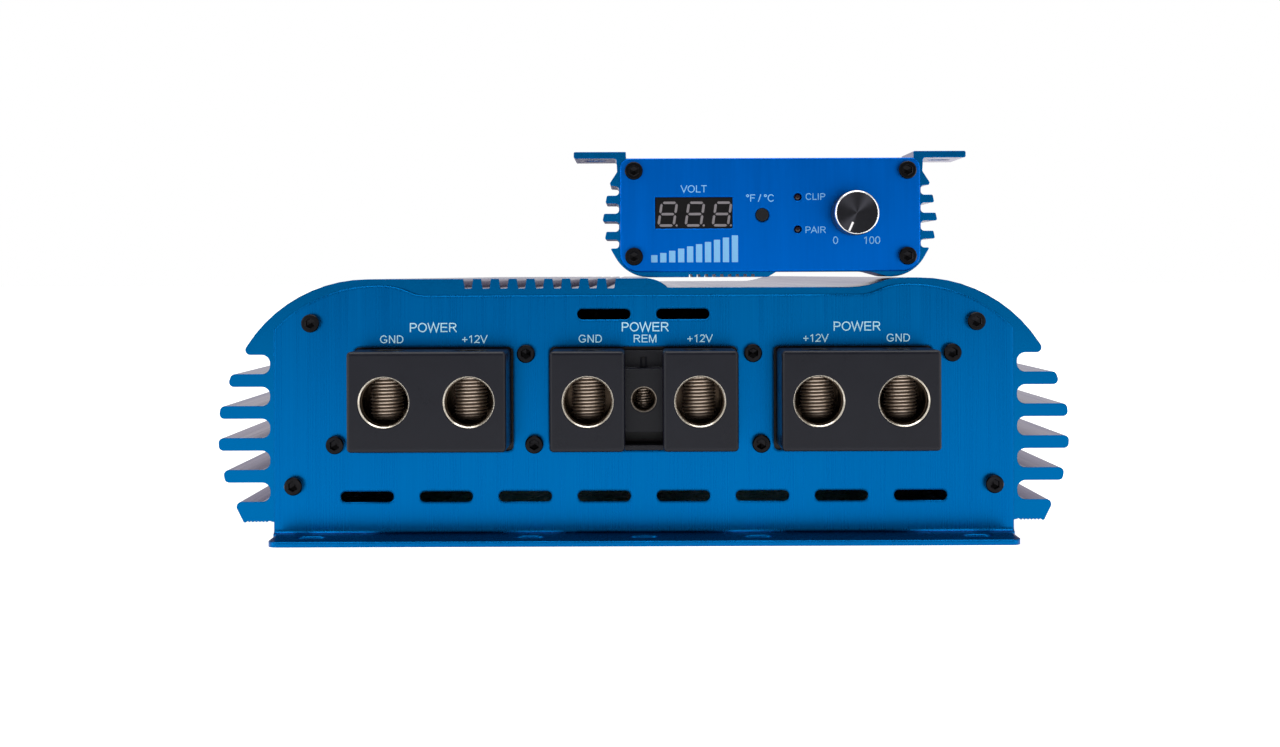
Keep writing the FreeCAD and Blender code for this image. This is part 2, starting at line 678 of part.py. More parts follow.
def switch_and_lamps():
    low, back = cell.jack_row_low, half_length - 0.5
    case = span((SWITCH_X - 6, control_face, low - 3.5), (SWITCH_X + 6, back, low + 3.5))
    track = span((SWITCH_X - 3.6, back - 5, low - 1.5), (SWITCH_X + 3.6, back + 1, low + 1.5))
    node("mode_switch_case", cut(case, [track]))
    node("mode_switch_slider", span((SWITCH_X - 3.5, back - 4.9, low - 1.4),
                                    (SWITCH_X - 0.5, face + 1.2, low + 1.4)))
    length = face + 1.4 - control_face
    lamps = [turned([(0, 0), (1.5, 0), (1.5, length, 1.4), (0, length)],
                    facing(BEHIND, x, control_face, low)) for x in STATUS_LAMPS]
    node("status_lamps", gathered(lamps))
    node("link_socket", phone_jack(LINK_X, face - 0.2, low, face - 0.2 - control_face, 1))


# ---------------------------------------------------------------- circuit inside

def boards():
    holes = [circle(side * 100, y, cell.tapped_radius)
             for side in (-1, 1) for y in board_screw_rows]
    outline = rectangle(0, 0, 2 * cell.board_half, 2 * cell.board_end)
    node("main_board", prism("XY", "ledge_top", "board", [outline] + holes))
    node("control_board", span((-45, control_back, board_top), (45, control_face, 60)))
    node("driver_board", span((-50, 178, board_top), (50, 179.6, 56)))
    pillars = [cylinder(3, "ledge_top - skirt_bottom", facing(UP, x, y, cell.skirt_bottom))
               for x in (-88, 0, 88) for y in (-110, 110)]
    node("board_pillars", gathered(pillars))


def can(radius, height, x, y):
    """Electrolytic capacitor: a can with a crimp groove near its seal."""
    groove = radius - 0.6
    return turned([(0, 0), (radius, 0, 0.5), (radius, 2.2), (groove, 2.8), (groove, 3.4),
                   (radius, 4), (radius, height, 1), (0, height)], facing(UP, x, y, board_top))


def ring_coil(x, y, core_radius):
    """Toroid standing on the board: a ferrite ring and two winding sleeves round it."""
    inner, low, high = core_radius * 0.55, 2.6, 20.6
    base = facing(UP, x, y, board_top)
    core = turned([(inner, low, 1), (core_radius, low, 1), (core_radius, high, 1),
                   (inner, high, 1)], base)
    windings = []
    for start in (8, 188):
        place = Placement(base.Base, Rotation(Vector(0, 0, 1), start))
        sleeve = turned([(inner - 2.5, 0, 3), (core_radius + 2.5, 0, 3),
                         (core_radius + 2.5, high + 2.5, 3), (inner - 2.5, high + 2.5, 3)],
                        place, 164)
        hollow = turned([(inner - 0.05, low - 0.05), (core_radius + 0.05, low - 0.05),
                         (core_radius + 0.05, high + 0.05), (inner - 0.05, high + 0.05)], base)
        windings.append(cut(sleeve, [hollow]))
    return core, windings


def components():
    supply = [can(9, 36, x, y) for x in range(-75, 76, 25) for y in (-222, -200)]
    node("supply_capacitors", gathered(supply))
    rail = [can(15, 42, x, y) for x in (-60, -20, 20, 60) for y in (0, 36)]
    node("rail_capacitors", gathered(rail))
    cores, windings = [], []
    places = [(x, y, 26) for x in (-62, 0, 62) for y in (-150, -85)]
    places += [(x, 110, 30) for x in (-48, 48)]
    for place in places:
        core, sleeves = ring_coil(*place)
        cores.append(core)
        windings += sleeves
    node("toroid_cores", gathered(cores))
    node("toroid_windings", gathered(windings))
    bars = [span((-86, y, board_top), (86, y + 3, board_top + 9)) for y in (-244, -237)]
    node("supply_busbars", gathered(bars))


def transistors():
    """Power devices along both walls, each on its pad, held by a clamp bar on each side."""
    packages, pads, bars, screws = [], [], [], []
    for side in (-1, 1):
        wall = side * cell.cavity_half
        pad_face = side * (cell.cavity_half - cell.pad_thickness)
        package_face = pad_face - side * cell.package_depth
        bar_face = package_face - side * cell.bar_thickness
        low, high = cell.package_bottom, cell.package_bottom + cell.package_height
        for y in package_rows:
            ends = (y - cell.package_width / 2, y + cell.package_width / 2)
            near, far = sorted((package_face, pad_face))
            legs = [span((side * 104 - 0.3, y + step - 0.6, board_top),
                         (side * 104 + 0.3, y + step + 0.6, low)) for step in (-5.4, 0, 5.4)]
            packages.append(fused([span((near, ends[0], low), (far, ends[1], high))] + legs))
            near, far = sorted((pad_face, wall))
            pads.append(span((near, ends[0] - 0.4, low - 0.5), (far, ends[1] + 0.4, high + 0.5)))
        near, far = sorted((bar_face, package_face))
        rail = span((near, -203, clamp_height - 6), (far, 203, clamp_height + 6))
        holes = [cylinder("tapped_radius", 8, facing((side, 0, 0), bar_face - side, y,
                                                     clamp_height)) for y in clamp_rows]
        bars.append(cut(rail, holes))
        screws += [pan_screw(facing((-side, 0, 0), bar_face, y, clamp_height), "clamp_shank")
                   for y in clamp_rows]
        screws += [pan_screw(facing(UP, side * 100, y, board_top)) for y in board_screw_rows]
    node("power_transistors", gathered(packages))
    node("insulating_pads", gathered(pads))
    node("clamp_bars", gathered(bars))
    node("inner_screws", gathered(screws))


# ---------------------------------------------------------------- remote

def remote_x(offset):
    return cell.remote_centre + offset


def remote_side():
    """Right side of the remote's extrusion, from its ear down four fins to the base."""
    root, hollow = 45.95, 1.1
    ear_low = cell.remote_top
    points = [(43.8, cell.remote_top), (43.8, cell.remote_top + cell.remote_ear, 0.3),
              (cell.remote_ear_half, cell.remote_top + cell.remote_ear, 0.5),
              (cell.remote_ear_half, ear_low, 0.5), (46.7, ear_low, 0.8), (46.5, 109.9),
              (48.7, 106.5, 0.3), (48.5, 105.7, 0.3), (root, 105.5, hollow)]
    for number, reach in enumerate((50.1, 51, 50.3)):
        top = 102.7 - number * cell.remote_fin_pitch
        bottom = top - cell.remote_fin_thickness
        points += [(root, top, hollow), (reach - 0.5, top, 0.5), (reach, bottom, 0.5),
                   (root, bottom, hollow)]
    points += [(root, 86.6, hollow), (48.6, 86.6, 0.3), (43.6, cell.remote_bottom, 12)]
    return points


def remote_base():
    """Underside of the remote from right to left: bump, recess, step and nine small slots."""
    floor, low = 79.3, cell.remote_bottom
    points = [(36, low, 6), (30.5, floor, 6), (1.8, floor, 1), (-0.7, low, 1)]
    for number in range(9):
        right = -4.6 - number * 2.37
        points += [(right, low), (right - 0.15, low + 0.9), (right - 1.05, low + 0.9),
                   (right - 1.2, low)]
    return points


def remote_hollow():
    """Right half of the remote's hollow, stepped round its two screw ports."""
    return [(37.9, 81.2, 0.5), (37.9, 87.3, 0.5), (43.7, 87.3, 0.5), (43.7, 106.7, 0.5),
            (37.9, 106.7, 0.5), (37.9, 112, 0.5)]


def remote_ports():
    return [(remote_x(side * cell.remote_screw_x), z) for side in (-1, 1)
            for z in (cell.remote_screw_high, cell.remote_screw_low)]


def remote_shell():
    right = remote_side()
    outline = right + remote_base() + mirrored(right)
    hollow = remote_hollow() + mirrored(remote_hollow())
    shifted = [[(remote_x(point[0]),) + tuple(point[1:]) for point in points]
               for points in (outline, hollow)]
    ports = [circle(x, z, cell.tapped_radius) for x, z in remote_ports()]
    shell = prism("XZ", "remote_front + remote_panel", "remote_depth",
                  [rounded(points) for points in shifted] + ports)
    middle = cell.remote_front + cell.remote_panel + cell.remote_depth / 2
    ears = [prism("XY", "remote_top - 1", "remote_ear + 2",
                  [slot(remote_x(side * 53.4), middle, 7, 4.2)]) for side in (-1, 1)]
    node("remote_housing", cut(shell, ears))


def remote_panels():
    back = cell.remote_front + cell.remote_panel + cell.remote_depth
    outline = [(-cell.remote_half, 79.4, 5.5), (cell.remote_half, 79.4, 5.5),
               (cell.remote_half, cell.remote_top - 0.1, 3),
               (-cell.remote_half, cell.remote_top - 0.1, 3)]
    rim = rounded([(remote_x(x), z, radius) for x, z, radius in outline])
    holes = [circle(x, z, cell.passing_radius) for x, z in remote_ports()]
    plate = soften(prism("XZ", "remote_front", "remote_panel", [rim]), "Y", cell.remote_front,
                   "remote_rim")
    before = cell.remote_front - 1
    openings = [("passing_radius", x, z) for x, z in remote_ports()]
    openings += [("button_radius + 0.15", remote_x(cell.button_x), cell.button_z),
                 ("dial_hole", remote_x(cell.dial_x), cell.dial_z)]
    openings += [("lamp_radius + 0.07", remote_x(cell.lamp_x), z)
                 for z in (cell.lamp_high, cell.lamp_low)]
    tools = [cylinder(radius, "remote_panel + 2", facing(BEHIND, x, before, z))
             for radius, x, z in openings]
    tools.append(block((remote_x(cell.window_x) - cell.window_width / 2, before,
                        cell.window_z - cell.window_height / 2),
                       ("window_width", "remote_panel + 2", "window_height")))
    node("remote_front_panel", cut(plate, tools))
    socket = rectangle(cell.remote_centre, 96, 12.4, 12.4, 0.5)
    node("remote_rear_panel", prism("XZ", "remote_front + remote_panel + remote_depth",
                                    "remote_panel", [rim] + holes + [socket]))
    screws = [socket_screw(facing(AHEAD, x, cell.remote_front, z)) for x, z in remote_ports()]
    screws += [socket_screw(facing(BEHIND, x, back + cell.remote_panel, z))
               for x, z in remote_ports()]
    node("remote_screws", gathered(screws))
    outer = back + cell.remote_panel
    node("remote_socket", phone_jack(cell.remote_centre, outer - 0.2, 96,
                                     outer - 0.2 - REMOTE_BOARD - cell.board, 1))


REMOTE_BOARD = cell.remote_front + 8.6


def remote_controls():
    left, right = remote_x(-36.9), remote_x(36.9)
    card = span((left, REMOTE_BOARD, 82.2), (right, REMOTE_BOARD + cell.board, 111))
    contact = span((remote_x(cell.button_x) - 3, REMOTE_BOARD - 1.4, cell.button_z - 3),
                   (remote_x(cell.button_x) + 3, REMOTE_BOARD, cell.button_z + 3))
    node("remote_board", fused([card, contact]))

    x, z = remote_x(cell.window_x), cell.window_z
    half_width, half_height = cell.window_width / 2 - 0.1, cell.window_height / 2 - 0.1
    node("remote_display", span((x - half_width, cell.remote_front + 0.3, z - half_height),
                                (x + half_width, REMOTE_BOARD, z + half_height)))

    length = 8.6 - 2 + 0.5
    node("remote_button", turned([(0, 0), (cell.button_radius, 0),
                                  (cell.button_radius, length, 0.4), (0, length)],
                                 facing(AHEAD, remote_x(cell.button_x), REMOTE_BOARD - 2,
                                        cell.button_z)))

    length = 8.6 - 0.35
    node("remote_lamps", gathered([turned([(0, 0), (cell.lamp_radius, 0),
                                           (cell.lamp_radius, length, 0.8), (0, length)],
                                          facing(AHEAD, remote_x(cell.lamp_x), REMOTE_BOARD, height))
                                   for height in (cell.lamp_high, cell.lamp_low)]))

    x, z = remote_x(cell.dial_x), cell.dial_z
    case = span((x - 6, REMOTE_BOARD - 5.5, z - 6.5), (x + 6, REMOTE_BOARD, z + 6.5))
    bush = cylinder(3.45, 6, facing(AHEAD, x, REMOTE_BOARD - 5.5, z))
    bore = cylinder(3.05, 12, facing(AHEAD, x, REMOTE_BOARD - 3, z))
    node("remote_pot", cut(fused([case, bush]), [bore]))

    radius, depth = cell.dial_radius, cell.dial_depth
    profile = [(0, -6.3), (3, -6.3), (3, 4), (4.6, 4), (4.6, 0), (radius, 0, 0.3),
               (radius, depth - 0.55), (radius - 0.65, depth), (radius - 0.75, depth - 0.25),
               (0, depth - 0.25)]
    node("remote_knob", turned(profile, facing(AHEAD, x, cell.remote_front - 0.9, z)))


# ---------------------------------------------------------------- the whole

heatsink()
bottom_cover()
covers()
terminal_blocks()
input_jacks()
knobs()
switch_and_lamps()
boards()
components()
transistors()
remote_shell()
remote_panels()
remote_controls()
doc.recompute()

for feature in doc.Objects:
    broken = {"Invalid", "Error"} & set(feature.State)
    if broken:
        raise RuntimeError(f"{feature.Label} is {sorted(broken)}")
for feature in nodes:
    if feature.Shape.isNull() or not feature.Shape.isValid():
        raise RuntimeError(f"{feature.Label} has no valid shape")

os.makedirs("parts", exist_ok=True)
for feature in nodes:
    feature.Shape.exportStep(f"parts/{feature.Label}.step")
print(len(nodes), "nodes written")
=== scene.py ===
"""Looks of a blue car amplifier: finishes, legends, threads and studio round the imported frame."""

from __future__ import annotations

import json
import logging
import math
from dataclasses import dataclass, field
from enum import Enum
from typing import Any

import bpy
import numpy as np
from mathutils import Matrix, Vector

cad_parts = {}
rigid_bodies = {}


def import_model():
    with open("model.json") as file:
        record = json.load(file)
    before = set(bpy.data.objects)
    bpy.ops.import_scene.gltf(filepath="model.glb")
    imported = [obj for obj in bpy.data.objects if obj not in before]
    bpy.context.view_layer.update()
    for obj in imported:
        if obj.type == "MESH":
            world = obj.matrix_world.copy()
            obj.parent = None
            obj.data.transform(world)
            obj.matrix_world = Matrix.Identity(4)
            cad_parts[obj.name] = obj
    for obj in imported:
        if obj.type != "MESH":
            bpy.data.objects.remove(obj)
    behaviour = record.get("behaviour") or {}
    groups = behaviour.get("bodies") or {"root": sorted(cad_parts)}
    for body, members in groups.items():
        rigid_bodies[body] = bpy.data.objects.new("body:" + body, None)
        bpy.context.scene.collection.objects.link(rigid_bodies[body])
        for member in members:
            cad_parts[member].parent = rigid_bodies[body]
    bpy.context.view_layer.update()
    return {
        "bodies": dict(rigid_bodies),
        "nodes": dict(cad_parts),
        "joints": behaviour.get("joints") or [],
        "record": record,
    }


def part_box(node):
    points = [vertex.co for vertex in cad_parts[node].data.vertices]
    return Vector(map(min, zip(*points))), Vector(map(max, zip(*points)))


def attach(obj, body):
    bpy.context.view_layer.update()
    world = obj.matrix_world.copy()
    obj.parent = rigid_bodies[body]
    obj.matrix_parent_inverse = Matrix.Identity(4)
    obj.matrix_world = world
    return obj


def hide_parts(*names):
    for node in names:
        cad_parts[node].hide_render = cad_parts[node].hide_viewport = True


LOG = logging.getLogger("amplifier")
MM = 0.001
TURN = 2 * math.pi
SIXTH = TURN / 6
PLATE = 1.6 * MM  # thickness of both end plates
GRAIN_HEIGHT = 0.03 * MM
MARK_HEIGHT = 0.02 * MM
POLE = 1e-6  # radius of a row that closes a surface on its axis


class Facing(Enum):
    """The way the outer side of a panel looks."""

    FRONT = -1
    REAR = 1


# -------- shader maths


class Wire:
    """A shader socket that takes part in arithmetic."""

    def __init__(self, shader: "Nodes", socket: bpy.types.NodeSocket) -> None:
        """Keeps the socket and the shader it belongs to."""
        self.shader = shader
        self.socket = socket

    def _math(self, operation: str, *values: Any) -> "Wire":
        """Adds one Math node on one or two values or wires."""
        return self.shader.add("ShaderNodeMath", {"operation": operation},
                               dict(enumerate(values)))

    def cosine(self) -> "Wire":
        """The cosine of an angle."""
        return self._math("COSINE", self)

    def sine(self) -> "Wire":
        """The sine of an angle."""
        return self._math("SINE", self)

    def angle_to(self, across: "Wire") -> "Wire":
        """The angle whose tangent is self over across."""
        return self._math("ARCTAN2", self, across)

    def __add__(self, other: Any) -> "Wire":
        """self + other."""
        return self._math("ADD", self, other)

    def __sub__(self, other: Any) -> "Wire":
        """self - other."""
        return self._math("SUBTRACT", self, other)

    def __rsub__(self, other: Any) -> "Wire":
        """other - self."""
        return self._math("SUBTRACT", other, self)

    def __mul__(self, other: Any) -> "Wire":
        """self * other."""
        return self._math("MULTIPLY", self, other)

    def __pow__(self, other: Any) -> "Wire":
        """self to the power other."""
        return self._math("POWER", self, other)

    def over(self, edge: float) -> "Wire":
        """1 where the value is above edge, else 0."""
        return self._math("GREATER_THAN", self, edge)

    def clamped(self) -> "Wire":
        """The value kept between 0 and 1."""
        return self.shader.add("ShaderNodeClamp", None, {0: self})


class Nodes:
    """Builds any node tree, one node at a time."""

    def __init__(self, owner: bpy.types.Material | bpy.types.World) -> None:
        """Empties the owner's tree."""
        owner.use_nodes = True
        self.tree = owner.node_tree
        self.tree.nodes.clear()

    def add(self, kind: str, settings: dict[str, Any] | None = None,
            inputs: dict[Any, Any] | None = None, output: int | str = 0) -> Wire:
        """Adds a node of any type.

        Args:
            kind: the node's type.
            settings: properties set before its sockets are used.
            inputs: a value or a wire for each socket, by name or number.
            output: which of its outputs to return.

        Returns:
            The chosen output as a wire.
        """
        node = self.tree.nodes.new(kind)
        for name, value in (settings or {}).items():
            setattr(node, name, value)
        self.feed(node, inputs or {})
        return Wire(self, node.outputs[output])

    def feed(self, node: bpy.types.Node, inputs: dict[Any, Any]) -> None:
        """Sets or links the sockets of a node."""
        for name, value in inputs.items():
            if isinstance(value, Wire):
                self.tree.links.new(value.socket, node.inputs[name])
            else:
                node.inputs[name].default_value = value

    def split(self, vector: Wire) -> tuple[Wire, Wire, Wire]:
        """The three parts of a vector."""
        node = self.tree.nodes.new("ShaderNodeSeparateXYZ")
        self.tree.links.new(vector.socket, node.inputs[0])
        return tuple(Wire(self, node.outputs[i]) for i in range(3))

    def blend(self, factor: Wire, low: Any, high: Any) -> Wire:
        """Mixes two colours by a factor from 0 to 1."""
        return self.add("ShaderNodeMix", {"data_type": "RGBA"}, {0: factor, 6: low, 7: high}, 2)


class Shader(Nodes):
    """Builds one material's shader."""

    def __init__(self, name: str) -> None:
        """Starts an empty material with a principled shader on its output."""
        self.material = bpy.data.materials.new(name)
        super().__init__(self.material)
        output = self.tree.nodes.new("ShaderNodeOutputMaterial")
        self.principled = self.tree.nodes.new("ShaderNodeBsdfPrincipled")
        self.tree.links.new(self.principled.outputs[0], output.inputs[0])

    def place(self, scale: tuple[float, float, float] = (1, 1, 1),
              centre: tuple[float, float, float] = (0, 0, 0)) -> Wire:
        """Object coordinates, moved so that centre is the origin and then scaled."""
        here = self.add("ShaderNodeTexCoord", output="Object")
        moved = self.add("ShaderNodeVectorMath", {"operation": "SUBTRACT"}, {0: here, 1: centre})
        return self.add("ShaderNodeVectorMath", {"operation": "MULTIPLY"}, {0: moved, 1: scale})

    def noise(self, scale: tuple[float, float, float] | float, detail: float = 2.0) -> Wire:
        """Noise from 0 to 1, in grains per metre: one scale, or one along each axis."""
        if not isinstance(scale, tuple):
            scale = (scale, scale, scale)
        return self.add("ShaderNodeTexNoise", {"noise_dimensions": "3D"},
                        {"Vector": self.place(scale), "Scale": 1.0, "Detail": detail})

    def bump(self, height: Wire, strength: float, distance: float, normal: Any = None) -> Wire:
        """A bump of a height wire, on top of another normal if there is one."""
        inputs = {"Height": height, "Strength": strength, "Distance": distance}
        if normal is not None:
            inputs["Normal"] = normal
        return self.add("ShaderNodeBump", None, inputs)

    def softened(self, radius: float) -> Wire:
        """A normal that rounds sharp edges by radius, in metres."""
        return self.add("ShaderNodeBevel", {"samples": 4}, {"Radius": radius})

    def finish(self, **sockets: Any) -> bpy.types.Material:
        """Feeds the principled shader; an underscore in a name stands for a space."""
        self.feed(self.principled, {name.replace("_", " "): value
                                    for name, value in sockets.items()})
        return self.material


def colour(red: float, green: float, blue: float) -> tuple[float, float, float, float]:
    """An opaque linear colour."""
    return (red, green, blue, 1.0)


# -------- finishes


@dataclass(frozen=True)
class Anodised:
    """Dyed anodised aluminium whose fine lines run along one axis."""

    name: str
    deep: tuple[float, float, float]
    bright: tuple[float, float, float]
    grain: tuple[float, float, float]
    roughness: float = 0.34
    line_depth: float = 0.22
    edge: float = 0.00035
    glancing: tuple[float, float, float] = (1.0, 0.82, 0.74)
    widening: float = 0.12
    clouds: float = 14
    swing: float = 0.16

    def build(self) -> bpy.types.Material:
        """Streaks of two widths carry the tint, the roughness and a shallow bump."""
        shader = Shader(self.name)
        fine = shader.noise(self.grain, 3.0)
        broad = shader.noise(tuple(scale * self.widening for scale in self.grain), 2.0)
        cloud = shader.noise(self.clouds, 2.0)
        streak = fine * 0.55 + broad * 0.45
        tint = streak * 0.7 + cloud * 0.3
        base = shader.blend(tint, colour(*self.deep), colour(*self.bright))
        rough = streak * self.swing + (self.roughness - self.swing / 2)
        normal = shader.bump(fine, self.line_depth, GRAIN_HEIGHT, shader.softened(self.edge))
        return shader.finish(Base_Color=base, Metallic=1.0, Roughness=rough, Normal=normal,
                             Specular_Tint=colour(*self.glancing))


@dataclass(frozen=True)
class Moulded:
    """Moulded plastic with a fine spark-eroded grain."""

    name: str
    tone: tuple[float, float, float]
    roughness: float = 0.42
    grain: float = 5200
    depth: float = 0.25
    edge: float = 0.0002
    specular: float = 0.5
    patches: float = 90

    def build(self) -> bpy.types.Material:
        """Grain as bump, patches of handling gloss in the roughness and a faint tint change."""
        shader = Shader(self.name)
        grain = shader.noise(self.grain, 2.0)
        patch = shader.noise(self.patches, 3.0)
        light = tuple(value * 1.35 + 0.004 for value in self.tone)
        base = shader.blend(patch, colour(*self.tone), colour(*light))
        rough = patch * 0.16 + grain * 0.08 + (self.roughness - 0.12)
        normal = shader.bump(grain, self.depth, GRAIN_HEIGHT, shader.softened(self.edge))
        return shader.finish(Base_Color=base, Roughness=rough, Normal=normal,
                             Specular_IOR_Level=self.specular)


@dataclass(frozen=True)
class Plated:
    """Plated or oxidised metal: a machined surface with faint turning marks."""

    name: str
    tone: tuple[float, float, float]
    roughness: float = 0.2
    worn: tuple[float, float, float] | None = None
    # Painted shade inside the bores: where it begins, its dark colour and how fast it falls off.
    shade_behind: float | None = None
    bore_shade: tuple[float, float, float] = (0.07, 0.05, 0.035)
    shade_falloff: float = 1800
    marks: float = 2600
    blotches: float = 320
    edge: float = 0.00012

    def build(self) -> bpy.types.Material:
        """Tool marks in the bump, blotches of tarnish in the tint and roughness.

        Deeper into the bores, measured from the middle along Y, the colour is painted dark as
        painted shade, where little light gets in.
        """
        shader = Shader(self.name)
        marks = shader.noise(self.marks, 2.0)
        blotch = shader.noise(self.blotches, 3.0)
        worn = self.worn or tuple(value * 0.72 for value in self.tone)
        base = shader.blend(blotch ** 1.6, colour(*self.tone), colour(*worn))
        # Painted shade: inside the bores the colour fades to a dark tone with depth.
        if self.shade_behind is not None:
            _, along, _ = shader.split(shader.place())
            deep = ((self.shade_behind - (along * along) ** 0.5) * self.shade_falloff).clamped()
            base = shader.blend(deep, base, colour(*self.bore_shade))
        rough = blotch * 0.2 + marks * 0.06 + (self.roughness - 0.1)
        normal = shader.bump(marks, 0.12, MARK_HEIGHT, shader.softened(self.edge))
        return shader.finish(Base_Color=base, Metallic=1.0, Roughness=rough, Normal=normal)


@dataclass(frozen=True)
class Thread:
    """Cut thread: bright crests over grooves painted dark as painted shade."""

    name: str = "cut_thread"
    crest: tuple[float, float, float] = (0.90, 0.76, 0.64)
    groove: tuple[float, float, float] = (0.13, 0.10, 0.078)

    def build(self) -> bpy.types.Material:
        """The piece's crest attribute, 0 in a groove and 1 on a crest, carries tint and gloss."""
        shader = Shader(self.name)
        crest = shader.add("ShaderNodeAttribute", {"attribute_name": "crest"}, None, "Fac")
        blotch = shader.noise(700, 3.0)
        share = (crest ** 1.5 * (1.1 - blotch * 0.35)).clamped()
        # Painted shade: the grooves take the dark tone, the crests the bright steel one.
        base = shader.blend(share, colour(*self.groove), colour(*self.crest))
        marks = shader.noise(3000, 1.0)
        return shader.finish(Base_Color=base, Metallic=1.0, Roughness=0.62 - share * 0.2,
                             Normal=shader.bump(marks, 0.1, MARK_HEIGHT))


@dataclass(frozen=True)
class Board:
    """Circuit board: solder mask over copper tracks, with the weave faintly showing."""

    name: str = "solder_mask"

    def build(self) -> bpy.types.Material:
        """Square cells of track tone with the glass weave as a bump."""
        shader = Shader(self.name)
        cells = shader.add("ShaderNodeTexVoronoi", {"distance": "CHEBYCHEV"},
                           {"Vector": shader.place((260, 260, 260)), "Scale": 1.0})
        weave = shader.noise(2200, 1.0)
        base = shader.blend(cells.over(0.42), colour(0.004, 0.07, 0.03),
                            colour(0.012, 0.14, 0.055))
        return shader.finish(Base_Color=base, Roughness=weave * 0.15 + 0.28,
                             Normal=shader.bump(weave, 0.2, 0.00004))


@dataclass(frozen=True)
class Spun:
    """Disc turned on a lathe: rings about an axis along Y, with fans of light across them."""

    name: str
    tone: tuple[float, float, float]
    centre: tuple[float, float, float]
    roughness: float = 0.26
    ring_rate: float = 42000
    shine: float = 5

    def build(self) -> bpy.types.Material:
        """Height is a fine wave of the distance; each fan is a power of a cosine of the angle."""
        shader = Shader(self.name)
        x, _, z = shader.split(shader.place((1, 1, 1), self.centre))
        distance = (x * x + z * z) ** 0.5
        angle = z.angle_to(x)
        pair, single = [((angle - lean) * turns).cosine() * 0.5 + 0.5
                        for lean, turns in ((0.9, 2.0), (2.2, 1.0))]
        # The fans are painted highlights, blended into the base colour.
        sheen = (pair ** 9.0 + single ** 20.0 * 0.6).clamped()
        rings = (distance * self.ring_rate).sine()
        patch = shader.noise(900, 2.0)
        light = tuple(value * self.shine for value in self.tone)
        base = shader.blend((sheen * (rings * 0.12 + 0.75) + patch * 0.1).clamped(),
                            colour(*self.tone), colour(*light))
        return shader.finish(Base_Color=base, Metallic=0.9, Roughness=patch * 0.1 + self.roughness,
                             Normal=shader.bump(rings, 0.35, MARK_HEIGHT))


@dataclass(frozen=True)
class Lens:
    """Tinted lamp lens, unlit."""

    name: str
    tone: tuple[float, float, float]

    def build(self) -> bpy.types.Material:
        """A dark clear plastic with a soft mottle."""
        shader = Shader(self.name)
        mottle = shader.noise(1500, 1.0)
        light = tuple(min(value * 2.2, 1.0) for value in self.tone)
        return shader.finish(Base_Color=shader.blend(mottle, colour(*self.tone), colour(*light)),
                             Roughness=mottle * 0.1 + 0.08, Transmission_Weight=0.25, IOR=1.5)


@dataclass(frozen=True)
class Ink:
    """Pale legend, slightly uneven."""

    name: str = "etched_legend"
    dark: tuple[float, float, float] = (0.46, 0.78, 0.95)
    pale: tuple[float, float, float] = (0.60, 0.92, 1.0)

    def build(self) -> bpy.types.Material:
        """Specks vary its tint and its gloss."""
        shader = Shader(self.name)
        speck = shader.noise(5200, 2.0)
        return shader.finish(Base_Color=shader.blend(speck, colour(*self.dark), colour(*self.pale)),
                             Roughness=speck * 0.2 + 0.45)


FINISHES: dict[str, Any] = {
    "anodised_extrusion": Anodised("die_drawn_blue", (0.0, 0.082, 0.247), (0.0, 0.12, 0.336),
                                   (1500, 10, 1500), 0.20, 0.1, glancing=(0.56, 0.46, 0.50)),
    "anodised_sheet": Anodised("brushed_blue", (0.0, 0.070, 0.242), (0.0, 0.150, 0.435),
                               (2600, 2600, 22), 0.28, 0.22, 0.0010),
    # The remote's housing: its panel's blue painted darker as painted shade, with die lines along
    # Y.
    "remote_extrusion": Anodised("die_drawn_remote_shaded", (0.0, 0.105, 0.32), (0.0, 0.145, 0.42),
                                 (1500, 10, 1500), 0.26, 0.1),
    "anodised_remote": Anodised("bright_blue", (0.0, 0.103, 0.485), (0.0, 0.145, 0.645),
                                (1800, 1800, 60), 0.34, 0.12, 0.0006),
    "black_screw": Plated("black_oxide", (0.015, 0.0145, 0.016), 0.20, (0.007, 0.007, 0.0075)),
    "black_plastic": Moulded("block_black", (0.0028, 0.0032, 0.0072), 0.30, edge=0.0005,
                             specular=0.22),
    # The last number of both nickels says where the painted shade inside their bores begins.
    "clamp_nickel": Plated("clamp_nickel", (0.92, 0.86, 0.76), 0.2, (0.70, 0.62, 0.50), 0.2814),
    "turn_on_nickel": Plated("turn_on_nickel", (0.3, 0.26, 0.22), 0.3, (0.12, 0.1, 0.08), 0.2712),
    "set_screw": Plated("plain_steel", (0.50, 0.42, 0.36), 0.3, (0.26, 0.20, 0.15)),
    "cut_thread": Thread(),
    "gold": Plated("gold_flash", (0.88, 0.64, 0.27), 0.2),
    "board_green": Board(),
    "capacitor": Moulded("shrink_sleeve", (0.02, 0.022, 0.04), 0.25, 900, 0.1),
    "ferrite": Moulded("ferrite_paint", (0.09, 0.17, 0.12), 0.5, 2500, 0.4),
    "copper": Plated("enamelled_copper", (0.72, 0.30, 0.12), 0.3),
    "steel": Plated("zinc_plate", (0.58, 0.58, 0.56), 0.3),
    "pad_grey": Moulded("silicone", (0.32, 0.32, 0.33), 0.6),
    "nylon": Moulded("nylon", (0.72, 0.71, 0.66), 0.5),
    "knob_black": Moulded("knob_black", (0.003, 0.0032, 0.0045), 0.4, specular=0.2),
    "lamp": Lens("lamp_dark", (0.010, 0.0015, 0.003)),
    "display": Moulded("display_face", (0.003, 0.0026, 0.003), 0.3, 3000, 0.05, specular=0.13),
    "dial": Moulded("dial_black", (0.005, 0.005, 0.006), 0.35, specular=0.3),
    "ink": Ink(),
    "remote_ink": Ink("faded_legend", (0.14, 0.39, 0.68), (0.21, 0.49, 0.80)),
    "pointer": Ink("pointer_white", (0.82, 0.80, 0.80), (0.92, 0.90, 0.90)),
    "unlit": Moulded("unlit_segment", (0.155, 0.14, 0.15), 0.4, 4200, 0.05),
    "bright_rim": Plated("bright_rim", (0.92, 0.91, 0.90), 0.16, (0.8, 0.8, 0.8)),
}


# -------- surfaces


